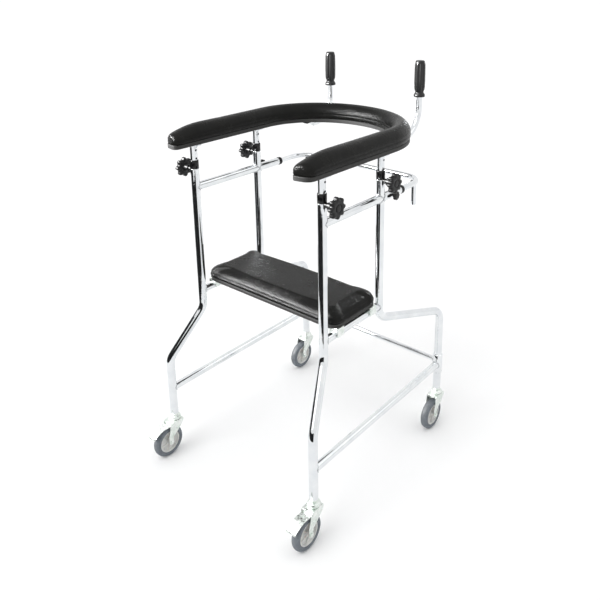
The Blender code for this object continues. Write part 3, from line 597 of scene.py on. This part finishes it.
def handleStem(tag, side):  # bends back under the armrest and is pressed flat where it is screwed on
    name = "handle_stem_" + tag
    x, radius, low = side * stems["x"], stems["radius"], stems["low"]
    flatStart = stems["flatY"] + stems["squeeze"]
    corners = [(x, stems["frontY"], stems["top"]), (x, stems["frontY"], low), (x, flatStart, low)]
    rings = ringsAlong(bentPath(corners, stems["bend"], 26), radius, 40, across)
    tongue = innerPosts["plateTop"] - gap - stems["halfTall"]
    rows = [(stems["flatY"] + stems["squeeze"] * (1 - k / 6), k / 6) for k in range(1, 7)]
    rows.append((stems["endY"], 1.0))
    for y, share in rows:
        share = share * share * (3 - 2 * share)
        wide = radius + (stems["halfWide"] - radius) * share
        tall = radius + (stems["halfTall"] - radius) * share
        z = low + (tongue - low) * share
        turns = [math.tau * i / 40 for i in range(40)]
        rings.append([Vector((x + wide * math.cos(turn), y, z + tall * math.sin(turn))) for turn in turns])
    skinned(name + "_tube", chromePlatedSteel, "armrest", rings, stands=name, sharp=50)
    spot = (x, (stems["flatY"] + stems["endY"]) / 2, tongue - stems["halfTall"] + 0.0002)
    panHead(name + "_screw", spot, stems["screwRadius"], stems["screwTall"])


grips = {"bottom": 1.11, "top": 1.222, "radius": 0.016, "flutes": 8, "fluteDepth": 0.0012}


def grip(tag, side):
    name, bore = "grip_" + tag, stems["radius"] + gap
    tall, radius, flute = grips["top"] - grips["bottom"], grips["radius"], grips["fluteDepth"]
    foot = (side * stems["x"], stems["frontY"], grips["bottom"])
    collar = [(0.0006, 0.0, 0), (0.0014, 0.0008, 0), (0.0015, 0.003, 0), (0.0013, 0.006, 0),
              (-0.0002, 0.0092, 0), (-0.0024, 0.0122, 0), (-0.003, 0.015, 0), (-0.0022, 0.0185, 0.4),
              (-0.0012, 0.023, 1), (-0.0004, 0.032, 1), (0.0, 0.45 * tall, 1), (-0.0002, 0.7 * tall, 1)]
    crown = [(0.0007, 0.014, 1), (0.001, 0.01, 0.6), (0.0014, 0.007, 0.1), (0.0018, 0.004, 0),
             (0.003, 0.0014, 0), (0.005, 0.0003, 0), (0.008, 0.0, 0)]
    profile = [(bore, stems["top"] + gap - grips["bottom"]), (bore, 0.0)]
    profile += [(radius + proud, height, flute * share) for proud, height, share in collar]
    profile += [(radius - inset, tall - drop, flute * share) for inset, drop, share in crown]
    turned(name + "_sleeve", dippedPvcGrip, "armrest", foot, up, profile, 128, wave=grips["flutes"],
           power=0.55, stands=name, sharp=60)


holders = {"x": 0.2155, "y": 0.2862, "radius": 0.008, "wall": 0.0012, "bottom": 0.787, "top": 0.863,
           "capWall": 0.0022, "capTall": 0.01}


def bowHolder(tag, side):
    name, radius, low, high = "bow_holder_" + tag, holders["radius"], holders["bottom"], holders["top"]
    foot = (side * holders["x"], holders["y"], 0)
    bore = radius - holders["wall"]
    profile = [(bore, low + 0.02), (bore, low), (radius - 0.0004, low), (radius, low + 0.0004),
               (radius, high - 0.001), (bore, high - 0.001)]
    turned(name + "_tube", chromePlatedSteel, "bow", foot, up, profile, 40, stands=name)
    wide, base, bore, edge = radius + holders["capWall"], high - holders["capTall"], radius + 0.0001, 0.0006
    profile = [(bore, base), (wide - edge, base), (wide, base + edge), (wide, high - edge),
               (wide - edge, high), (bore, high)]
    turned(name + "_cap", glossyPolyamide, "bow", foot, up, profile, 48, closed=True)


frontBow()
for tag, side in sideOf.items():
    handleStem(tag, side)
    grip(tag, side)
    bowHolder(tag, side)
print("bow and handles done")

armPad = {"bottom": 1.016, "top": 1.0667, "x": 0.2445, "halfWidth": 0.032, "rearY": -0.2655, "arcY": 0.102,
          "frontY": 0.322, "arcSteps": 60, "endRound": 0.019, "edgeRound": 0.008, "taper": 0.115,
          "drop": 0.43, "skew": 0.23, "skewReach": 0.1, "boardBottom": 1.004, "boardTop": 1.0157,
          "boardInset": 0.004, "shrink": 0.0016, "voxel": 0.0044, "pressure": 4.0, "cap": 0.005, "relax": 2,
          "fill": 0.85, "seamHeight": 0.305, "seamDepth": 0.0012, "seamHalf": 0.002, "seamCore": 0.014}
padding = {"steps": 20, "heldTall": 0.0035, "evenness": 0.5}


def armPadStations(distances):  # point, sideways direction and distance to the nearer end, all round the U
    arm = [Vector((-armPad["x"], armPad["rearY"] + d, 0)) for d in distances]
    arc = []
    for k in range(armPad["arcSteps"] + 1):
        angle = math.pi * k / armPad["arcSteps"]
        rise = (armPad["frontY"] - armPad["arcY"]) * math.sin(angle)
        arc.append(Vector((-armPad["x"] * math.cos(angle), armPad["arcY"] + rise, 0)))
    points = arm + arc + [Vector((-p.x, p.y, 0)) for p in reversed(arm)]
    reaches = distances + [1.0] * len(arc) + distances[::-1]
    stations = []
    for i, point in enumerate(points):
        along = (points[min(i + 1, len(points) - 1)] - points[max(i - 1, 0)]).normalized()
        stations.append((point, Vector((along.y, -along.x, 0)), reaches[i]))
    return stations


def armPadRing(station, outline):  # near an end the inner side is drawn back
    point, side, distance = station
    back = armPad["skew"] * max(0.0, 1.0 - distance / armPad["skewReach"])
    ring = []
    for u, z in outline:
        spot = point + side * u
        ring.append(spot + up * z - ahead * back * (abs(point.x) - abs(spot.x)))
    return ring


def roundIn(distance, radius):
    return 0.0 if distance >= radius else radius - math.sqrt(max(radius ** 2 - (radius - distance) ** 2, 0.0))


def inflate(piece, values):  # voxel skin, swelling under pressure on a held base, relaxed and subdivided once
    remesh = piece.modifiers.new("skin", "REMESH")
    remesh.mode = "VOXEL"
    remesh.voxel_size = values["voxel"]
    bakeModifiers(piece)
    still = [v.co.copy() for v in piece.data.vertices]
    held = piece.vertex_groups.new(name="held")
    heldTop = values["bottom"] + padding["heldTall"]
    held.add([i for i, p in enumerate(still) if p.z < heldTop], 1.0, "REPLACE")
    cloth = piece.modifiers.new("padding", "CLOTH")
    cloth.settings.use_pressure = True
    cloth.settings.uniform_pressure_force = values["pressure"]
    cloth.settings.vertex_group_mass = "held"
    cloth.settings.effector_weights.gravity = 0.0
    cloth.point_cache.frame_start = 1
    cloth.point_cache.frame_end = padding["steps"]
    for step in range(1, padding["steps"] + 1):
        scene.frame_set(step)
    bakeModifiers(piece)
    for vertex, rest in zip(piece.data.vertices, still):
        moved = vertex.co - rest
        if moved.length > values["cap"]:
            vertex.co = rest + moved * (values["cap"] / moved.length)
    scene.frame_set(1)
    piece.vertex_groups.clear()
    even = piece.modifiers.new("even", "SMOOTH")
    even.iterations = values["relax"]
    even.factor = padding["evenness"]
    finer = piece.modifiers.new("finer", "SUBSURF")
    finer.levels = finer.render_levels = 1
    bakeModifiers(piece)


def pinch(piece, values, seamHeight, towards):  # draws the cover in along a seam
    for vertex in piece.data.vertices:
        off = (vertex.co.z - seamHeight(vertex.co)) / values["seamHalf"]
        if abs(off) < 3:
            vertex.co += towards(vertex.co) * values["seamDepth"] * math.exp(-off * off)


def settle(piece, body, node):  # keeps a cushion inside the space its solid holds
    low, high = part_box(node)
    for vertex in piece.data.vertices:
        vertex.co = Vector([min(max(c, a), b) for c, a, b in zip(vertex.co, low, high)])
    dress(piece, body, node)


def armCushion():
    bottom, shrink, whole = armPad["bottom"], armPad["shrink"], armPad["top"] - armPad["bottom"]
    half = [(0.93, 0.0), (0.975, 0.03), (1.0, 0.08), (1.0, 0.28), (0.995, 0.36), (0.975, 0.45), (0.92, 0.56),
            (0.82, 0.68), (0.68, 0.79), (0.51, 0.88), (0.33, 0.946), (0.16, 0.987)]
    outline = [(-u, v) for u, v in half] + [(0.0, 1.0)] + [(u, v) for u, v in reversed(half)]
    stations = armPadStations([shrink, 0.003, 0.0055, 0.009, 0.013, 0.019, 0.029, 0.04, 0.052, 0.065, 0.09,
                               0.115, 0.15, 0.2, 0.245, 0.285, 0.327])

    def fullness(station):  # the pad thins towards its ends
        return 1 - armPad["drop"] * (1 - min(station[2] / armPad["taper"], 1)) ** 2

    rings = []
    for station in stations:
        distance = station[2] - shrink
        width = armPad["halfWidth"] - shrink - roundIn(distance, armPad["endRound"])
        tall = whole * fullness(station) - roundIn(distance, armPad["edgeRound"]) - shrink
        rings.append(armPadRing(station, [(u * width, bottom + v * tall) for u, v in outline]))
    pad = skinned("underarm_cushion_cover", grainedUpholsteryVinyl, None, rings)
    inflate(pad, armPad)

    def nearest(place):
        return min(stations, key=lambda s: (s[0].x - place.x) ** 2 + (s[0].y - place.y) ** 2)

    def inward(place):
        middle = nearest(place)[0]
        pull = Vector((middle.x - place.x, middle.y - place.y, 0))
        return pull.normalized() if pull.length > armPad["seamCore"] else Vector((0, 0, 0))

    pinch(pad, armPad, lambda place: bottom + armPad["seamHeight"] * whole * fullness(nearest(place)), inward)
    pad.data.shade_smooth()
    settle(pad, "armrest", "underarm_cushion")


def armBoard():
    low, high = armPad["boardBottom"], armPad["boardTop"]
    distances = [0.0, 0.0015, 0.004, 0.008, 0.013, 0.019, 0.04, 0.065, 0.09, 0.115, 0.2, 0.285]
    rings = []
    for station in armPadStations(distances):
        width = armPad["halfWidth"] - armPad["boardInset"] - roundIn(station[2], armPad["endRound"])
        rings.append(armPadRing(station, ((-width, low), (width, low), (width, high), (-width, high))))
    skinned("underarm_board_ply", blackPaintedPly, "armrest", rings, stands="underarm_board", soften=0.0008)


armCushion()
armBoard()
print("underarm pad done")

seat = {"y": -0.054, "halfX": 0.262, "halfY": 0.105, "corner": 0.036, "bottom": 0.5703, "top": 0.6075,
        "boardInset": 0.006, "boardBottom": 0.56, "boardTop": 0.57, "clipY": 0.074, "clipHalf": 0.014,
        "clipWall": 0.004, "clipDrop": 0.004, "shrink": 0.0018, "voxel": 0.0048, "pressure": 4.0,
        "cap": 0.006, "relax": 8, "fill": 0.8, "edgeReach": 0.034, "edgeSteps": 12, "seamHeight": 0.34,
        "seamDepth": 0.0011, "seamHalf": 0.002, "seamReach": 0.05, "seamCore": 0.03}


def roundedRectangle(inset, radius, steps, z):
    halfX, halfY = seat["halfX"] - inset, seat["halfY"] - inset
    points = []
    for signX, signY, start in ((1, 1, 0), (-1, 1, 90), (-1, -1, 180), (1, -1, 270)):
        for k in range(steps + 1):
            angle = math.radians(start + 90 * k / steps)
            points.append(Vector((signX * (halfX - radius) + radius * math.cos(angle),
                                  seat["y"] + signY * (halfY - radius) + radius * math.sin(angle), z)))
    return points


def seatCushion():
    bottom, shrink = seat["bottom"], seat["shrink"]
    tall = seat["top"] - bottom - shrink
    layers = [(0.0045, 0.0), (0.0015, 0.04), (0.0003, 0.14), (0.0, 0.28)]
    for k in range(1, seat["edgeSteps"] + 1):
        angle = math.radians(90 * k / seat["edgeSteps"])
        layers.append((seat["edgeReach"] * (1 - math.cos(angle)), 0.28 + 0.66 * math.sin(angle)))
    layers += [(0.055, 0.975), (0.085, 1.0)]
    rings = []
    for inset, share in layers:
        inset += shrink
        corner = max(seat["corner"] - inset * 0.6, 0.006)
        rings.append(roundedRectangle(inset, corner, 12, bottom + share * tall))
    pad = skinned("seat_cushion_cover", grainedUpholsteryVinyl, None, rings)
    inflate(pad, seat)

    def inward(place):
        reachX, reachY = seat["halfX"] - seat["seamReach"], seat["halfY"] - seat["seamReach"]
        insideX = max(-reachX, min(reachX, place.x))
        insideY = seat["y"] + max(-reachY, min(reachY, place.y - seat["y"]))
        pull = Vector((insideX - place.x, insideY - place.y, 0))
        return pull.normalized() if pull.length > seat["seamCore"] else Vector((0, 0, 0))

    pinch(pad, seat, lambda place: bottom + seat["seamHeight"] * tall, inward)
    pad.data.shade_smooth()
    settle(pad, "frame", "seat_cushion")


def seatBoard():
    inset, low, top = seat["boardInset"], seat["boardBottom"], seat["boardTop"]
    rings = [roundedRectangle(inset, seat["corner"] - inset, 10, z) for z in (low, top)]
    skinned("seat_board_ply", blackPaintedPly, "frame", rings, stands="seat_board", soften=0.0008)


def seatClips():  # bent plates that sit over the seat rails
    railZ, top = layout["seatRailZ"], seat["boardBottom"]
    reach = rails["seatRailRadius"] + gap
    wall = reach + seat["clipWall"]
    low = railZ - seat["clipDrop"]
    turns = [math.pi * k / 20 for k in range(21)]
    outline = [(-wall, top), (-wall, low), (-reach, low)]
    outline += [(reach * math.cos(math.pi - turn), railZ + reach * math.sin(turn)) for turn in turns]
    outline += [(reach, low), (wall, low), (wall, top)]
    for tag, (side, y) in {"RL": (-1, -1), "RR": (1, -1), "FL": (-1, 1), "FR": (1, 1)}.items():
        middle = seat["y"] + y * seat["clipY"]
        ends = (middle - seat["clipHalf"], middle + seat["clipHalf"])
        bm = bmesh.new()
        prism(bm, outline, lambda p, end: Vector((side * postX + p[0], ends[end], p[1])))
        makePiece("seat_clip_" + tag, bm, zincPlatedSteel, "frame", soften=0.0008)


seatCushion()
seatBoard()
seatClips()
print("seat done")

castorPlaces = {"RL": (-legX, legRearY), "RR": (legX, legRearY),
                "FL": (-legX, legFrontY), "FR": (legX, legFrontY)}
castor = {"heading": -90.0, "wheel": 0.0505, "rim": 0.035, "tyreHalf": 0.012, "trail": 0.032,
          "forkOut": 0.0185, "forkIn": 0.0165, "forkTop": 0.116, "forkUnder": 0.1125, "axle": 0.0038,
          "boltHead": 0.0062, "boltTall": 0.0035, "eye": 0.0085, "ribs": 6, "ribHalf": 0.0009}
pedal = {"pivot": (0.0245, 0.1055), "barrel": 0.0035, "ridges": 4, "firstRidge": 0.066, "ridgeStep": 0.005,
         "ridgeRadius": 0.0011}


def castorAxes(tag):
    heading = math.radians(castor["heading"])
    trail = Vector((math.cos(heading), math.sin(heading), 0))
    return Vector((*castorPlaces[tag], 0)), trail, Vector((-trail.y, trail.x, 0))


def wheelCentre(tag):
    swivel, trail, wide = castorAxes(tag)
    return swivel + trail * castor["trail"] + up * castor["wheel"], trail, wide


def castorStem(tag):
    name, base = "castor_stem_" + tag, castor["forkTop"] + gap
    profile = [(0.015, base), (0.0165, base + 0.0002), (0.0178, base + 0.0008), (0.0185, base + 0.002),
               (0.0187, 0.1205), (0.0185, 0.1222), (0.0178, 0.1236), (0.0172, 0.124), (0.017, 0.1252),
               (0.0164, 0.1264), (0.015, 0.1272), (0.012, 0.128), (0.0106, 0.1286), (0.0104, 0.13),
               (0.0104, 0.1318), (0.011, 0.1323), (0.0118, 0.1325), (0.012, 0.133),
               (0.012, layout["legBottom"] - gap)]
    turned(name + "_race", zincPlatedSteel, "frame", (*castorPlaces[tag], 0), up, profile, 64, stands=name,
           sharp=50)


def forkOutline():  # along the trail and up, from the crown's rear edge round the eye to its front edge
    eye, wheel, trail, under = castor["eye"], castor["wheel"], castor["trail"], castor["forkUnder"]
    points = [(0.031, under), (0.0325, 0.104), (0.0337, 0.096), (0.036, 0.085), (0.0405, 0.072)]
    for degrees in range(30, -216, -15):
        angle = math.radians(degrees)
        points.append((trail + eye * math.cos(angle), wheel + eye * math.sin(angle)))
    points += [(0.023, 0.066), (0.015, 0.0725), (0.006, 0.08), (-0.004, 0.0895), (-0.013, 0.0985),
               (-0.017, 0.1035), (-0.019, 0.108), (-0.019, under)]
    return points


def castorFork(tag):  # pressed fork: two teardrop cheeks folded down from a flat crown
    swivel, trail, wide = castorAxes(tag)
    name, body = "castor_fork_" + tag, "castor_" + tag
    low = forkOutline()
    top = [(-0.0175, castor["forkTop"]), (0.0295, castor["forkTop"])]
    last = len(low) - 1
    count = 24
    outer, inner = castor["forkOut"], castor["forkIn"]
    eye, axle = wheelCentre(tag)[0], castor["axle"]
    turns = [math.tau * i / count for i in range(count)]
    hole = [(castor["trail"] + axle * math.cos(a), castor["wheel"] + axle * math.sin(a)) for a in turns]
    bm = bmesh.new()
    rims, eyes = {}, {}
    for reach in (-outer, -inner, inner, outer):
        outline = low if abs(reach) == inner else low + top
        spots = [[swivel + trail * u + wide * reach + up * z for u, z in loop] for loop in (outline, hole)]
        rims[reach], eyes[reach] = [[bm.verts.new(spot) for spot in loop] for loop in spots]
        pool = rims[reach] + eyes[reach]
        flat = [[Vector((u, z, 0)) for u, z in loop] for loop in (outline, hole)]
        for triangle in tessellate_polygon(flat):
            bm.faces.new([pool[i] for i in triangle])
    for out, into in ((-outer, -inner), (outer, inner)):
        for i in range(last):
            bm.faces.new((rims[out][i], rims[out][i + 1], rims[into][i + 1], rims[into][i]))
        for i in range(count):
            j = (i + 1) % count
            bm.faces.new((eyes[out][i], eyes[out][j], eyes[into][j], eyes[into][i]))
    left, leftIn, right, rightIn = rims[-outer], rims[-inner], rims[outer], rims[inner]
    bm.faces.new((left[last], leftIn[last], rightIn[last], right[last], right[last + 1], left[last + 1]))
    bm.faces.new((left[0], left[last + 2], right[last + 2], right[0], rightIn[0], leftIn[0]))
    bm.faces.new((left[last + 1], right[last + 1], right[last + 2], left[last + 2]))
    bm.faces.new((leftIn[0], rightIn[0], rightIn[last], leftIn[last]))
    makePiece(name + "_pressing", bm, zincPlatedSteel, body, name, sharp=40, soften=0.0007, steps=3)
    head, tall = castor["boltHead"], castor["boltTall"]
    profile = [(axle - 0.0001, -outer - 0.0002), (axle - 0.0001, outer + 0.0002)]
    turned("castor_axle_" + tag, zincPlatedSteel, body, eye, wide, profile, 24)
    profile = [(head, 0.0), (head, tall - 0.0006), (head - 0.0007, tall), (0.0028, tall),
               (0.0026, tall - 0.0008)]
    for end, label in ((-1, "head"), (1, "nut")):
        turned(f"castor_axle_{label}_{tag}", zincPlatedSteel, body, eye + wide * end * outer, wide * end,
               profile, 6, sharp=25, soften=0.0003)


def castorHub(tag):
    centre, trail, wide = wheelCentre(tag)
    name, body = "castor_hub_" + tag, "wheel_" + tag
    bore, face, web, boss, rim = castor["axle"] + gap, 0.0105, 0.005, 0.015, castor["rim"]
    half = [(bore, boss), (0.0072, boss), (0.008, boss - 0.0008), (0.0086, web + 0.0024),
            (0.0096, web + 0.0006), (0.0108, web), (rim - 0.0076, web), (rim - 0.0064, web + 0.0006),
            (rim - 0.0056, web + 0.0018), (rim - 0.0048, face - 0.0006), (rim - 0.0042, face),
            (rim - 0.0004, face), (rim, face - 0.0004)]
    profile = [(r, -z) for r, z in half] + [(r, z) for r, z in reversed(half)]
    turned(name + "_moulding", paleMouldedNylon, body, centre, wide, profile, 72, closed=True, stands=name,
           sharp=50)
    bm = bmesh.new()
    third = wide.cross(trail)
    thick = (-castor["ribHalf"], castor["ribHalf"])
    outline = [(0.0078, -0.0092), (0.0285, -0.0082), (0.031, -0.0082), (0.031, 0.0082), (0.0285, 0.0082),
               (0.0078, 0.0092)]
    for k in range(castor["ribs"]):
        angle = math.tau * k / castor["ribs"] + 0.3
        outward = trail * math.cos(angle) + third * math.sin(angle)
        sideways = wide.cross(outward)
        prism(bm, outline, lambda p, end: centre + outward * p[0] + wide * p[1] + sideways * thick[end])
    makePiece(name + "_ribs", bm, paleMouldedNylon, body, soften=0.0003)


def castorTyre(tag):
    name, (centre, _, wide) = "castor_tyre_" + tag, wheelCentre(tag)
    inner, half, radius = castor["rim"] + gap, castor["tyreHalf"], castor["wheel"]
    wall = [(0.0, 0.0015), (0.0012, 0.0004), (0.0035, 0.0), (0.005, 0.0001), (0.0056, 0.0006),
            (0.0064, 0.0002)]
    tread = [(0.0055, 0.0006), (0.0034, 0.002), (0.0018, 0.0042), (0.0008, 0.0068), (0.0002, 0.0095)]
    side = [(inner + reach, half - inset) for reach, inset in wall]
    side += [(radius - drop, half - inset) for drop, inset in tread]
    profile = [(r, -z) for r, z in side] + [(radius, 0.0)] + [(r, z) for r, z in reversed(side)]
    turned(name + "_tread", slateTreadRubber, "wheel_" + tag, centre, wide, profile, 96, closed=True,
           stands=name, sharp=60)


def brakePedal(tag):
    swivel, trail, wide = castorAxes(tag)
    name, body = "brake_pedal_" + tag, "pedal_" + tag
    (pivotU, pivotZ), barrel = pedal["pivot"], pedal["barrel"]
    turns = [math.radians(degrees) for degrees in range(60, 301, 20)]
    outline = [(pivotU + barrel * math.cos(turn), pivotZ + barrel * math.sin(turn)) for turn in turns]
    outline += [(0.03, 0.1035), (0.043, 0.105), (0.056, 0.1055), (0.07, 0.1015), (0.08, 0.0972),
                (0.087, 0.0935), (0.0905, 0.088), (0.0928, 0.089), (0.092, 0.0925), (0.0895, 0.0955),
                (0.08, 0.0998), (0.07, 0.104), (0.057, 0.1082), (0.043, 0.1078), (0.03, 0.1068)]
    half = castor["forkIn"] - 0.0006
    bm = bmesh.new()
    prism(bm, outline, lambda p, end: swivel + trail * p[0] + wide * (-half, half)[end] + up * p[1])
    makePiece(name + "_pressing", bm, zincPlatedSteel, body, name, soften=0.0008, steps=3)
    bm = bmesh.new()
    for k in range(pedal["ridges"]):  # across the tread, on its slope
        u = pedal["firstRidge"] + pedal["ridgeStep"] * k
        middle = swivel + trail * u + up * (0.1063 - (u - 0.06) * 0.44 - 0.0002)
        rings = []
        for step in range(9):
            swing = math.pi * step / 8
            spot = middle + wide * (half - 0.004) * -math.cos(swing)
            rings.append(ringAt(spot, trail, up, pedal["ridgeRadius"] * (0.35 + 0.65 * math.sin(swing)), 12))
        skin(bm, rings)
    makePiece(name + "_ridges", bm, zincPlatedSteel, body, sharp=60)


for tag in castorPlaces:
    castorStem(tag)
    castorFork(tag)
    castorHub(tag)
    castorTyre(tag)
for tag in ("RL", "RR"):
    brakePedal(tag)
print("castors done")

studio = {"floorHalf": 60.0, "floorColour": "#fcfcfc", "worldStrength": 0.95, "horizonColour": "#8a8c8f",
          "zenithAt": 0.75, "keySun": {"strength": 1.0, "heading": -8, "tilt": 42, "spread": 40},
          "fillSun": {"strength": 0.2, "heading": 120, "tilt": 40, "spread": 50}}
darkRoom = {"radius": 1.15, "from": -164.0, "step": -104.0, "to": -38.0, "high": 0.78, "low": 0.57,
            "columns": 32, "colour": "#2a2a2b"}
softBox = {"strength": 240.0, "size": (2.6, 0.35), "place": (-2.1, -1.88, 1.95), "aimZ": 0.8}


def stagePiece(name, bm, finish, colour, settings, mirrored=False):  # mirrored: seen only in reflections
    piece = linkMesh(name, bm, startMaterial(finish, colour, settings)[0])
    if mirrored:
        for ray in ("camera", "diffuse", "shadow", "transmission", "volume_scatter"):
            setattr(piece, "visible_" + ray, False)


def makeFloor():
    bm = bmesh.new()
    half = studio["floorHalf"]
    corners = ((-half, -half), (half, -half), (half, half), (-half, half))
    bm.faces.new([bm.verts.new((x, y, 0)) for x, y in corners])
    settings = {"Roughness": 0.9, "Specular IOR Level": 0.1}
    stagePiece("floor", bm, "mattPaperFloor", studio["floorColour"], settings)


def makeDarkRoom():  # unlit side of the studio beyond the paper
    bm = bmesh.new()
    columns = []
    for k in range(darkRoom["columns"] + 1):
        angle = math.radians(darkRoom["from"] + (darkRoom["to"] - darkRoom["from"]) * k / darkRoom["columns"])
        spot = Vector((math.cos(angle), math.sin(angle), 0)) * darkRoom["radius"] + ahead * layout["midY"]
        top = darkRoom["high"] if angle < math.radians(darkRoom["step"]) else darkRoom["low"]
        columns.append([bm.verts.new(spot + up * z) for z in (0.01, top)])
    for near, far in zip(columns, columns[1:]):
        bm.faces.new((near[0], far[0], far[1], near[1]))
    settings = {"Roughness": 0.95, "Specular IOR Level": 0.0}
    stagePiece("darkRoom", bm, "darkRoomCloth", darkRoom["colour"], settings, mirrored=True)


def makeSoftBox():  # long lamp behind the walker: the bright line it leaves on vinyl and chrome
    wide, tall = softBox["size"]
    centre = Vector(softBox["place"])
    out = (Vector((0, layout["midY"], softBox["aimZ"])) - centre).normalized()
    lift = across.cross(out).normalized()
    bm = bmesh.new()
    corners = ((-1, -1), (1, -1), (1, 1), (-1, 1))
    bm.faces.new([bm.verts.new(centre + across * s * wide / 2 + lift * t * tall / 2) for s, t in corners])
    settings = {"Roughness": 1.0, "Emission Color": (1, 1, 1, 1), "Emission Strength": softBox["strength"]}
    stagePiece("softBox", bm, "softBoxCloth", "#ffffff", settings, mirrored=True)


def makeWorld():  # lights with a soft gradient, and is plain white to camera, glossy and transmission rays
    world = bpy.data.worlds.new("studio")
    scene.world = world
    world.use_nodes = True
    tree = world.node_tree
    tree.nodes.clear()
    paths = addNode(tree, "ShaderNodeLightPath")
    seen = paths.outputs["Is Camera Ray"]
    for ray in ("Is Glossy Ray", "Is Transmission Ray"):
        links = {0: seen, 1: paths.outputs[ray]}
        seen = addNode(tree, "ShaderNodeMath", {"operation": "ADD", "use_clamp": True}, links).outputs[0]
    direction = addNode(tree, "ShaderNodeTexCoord")
    height = addNode(tree, "ShaderNodeSeparateXYZ", links={0: direction.outputs["Generated"]})
    ramp = addNode(tree, "ShaderNodeValToRGB", links={"Fac": height.outputs["Z"]})
    ramp.color_ramp.elements[1].position = studio["zenithAt"]
    ramp.color_ramp.elements[0].color = hexLinear(studio["horizonColour"])
    ramp.color_ramp.elements[1].color = hexLinear("#ffffff")
    sky = {"Color": ramp.outputs["Color"]}
    soft = addNode(tree, "ShaderNodeBackground", {"Strength": studio["worldStrength"]}, sky)
    white = addNode(tree, "ShaderNodeBackground", {"Color": (1, 1, 1, 1), "Strength": 1.0})
    mix = addNode(tree, "ShaderNodeMixShader", links={0: seen, 1: soft.outputs[0], 2: white.outputs[0]})
    addNode(tree, "ShaderNodeOutputWorld", links={"Surface": mix.outputs[0]})


def sun(name):
    values = studio[name]
    light = bpy.data.lights.new(name, "SUN")
    light.energy = values["strength"]
    light.angle = math.radians(values["spread"])
    lamp = bpy.data.objects.new(name, light)
    lamp.rotation_euler = (math.radians(values["tilt"]), 0, math.radians(values["heading"]))
    scene.collection.objects.link(lamp)


makeFloor()
makeWorld()
sun("keySun")
sun("fillSun")
makeDarkRoom()
makeSoftBox()

view = {"place": (1.2702, -1.3907, 1.4905), "tilt": 74.095, "turn": 38.24, "sensor": 36.0, "lens": 40.3,
        "shift": (-0.0762, -0.2332), "clip": (0.05, 200.0)}
cameraData = bpy.data.cameras.new("camera")
cameraData.sensor_width = view["sensor"]
cameraData.lens = view["lens"]
cameraData.shift_x, cameraData.shift_y = view["shift"]
cameraData.clip_start, cameraData.clip_end = view["clip"]
camera = bpy.data.objects.new("camera", cameraData)
camera.location = view["place"]
camera.rotation_euler = (math.radians(view["tilt"]), 0, math.radians(view["turn"]))
scene.collection.objects.link(camera)
scene.camera = camera
scene.view_settings.view_transform = "Standard"
print("studio and camera set")
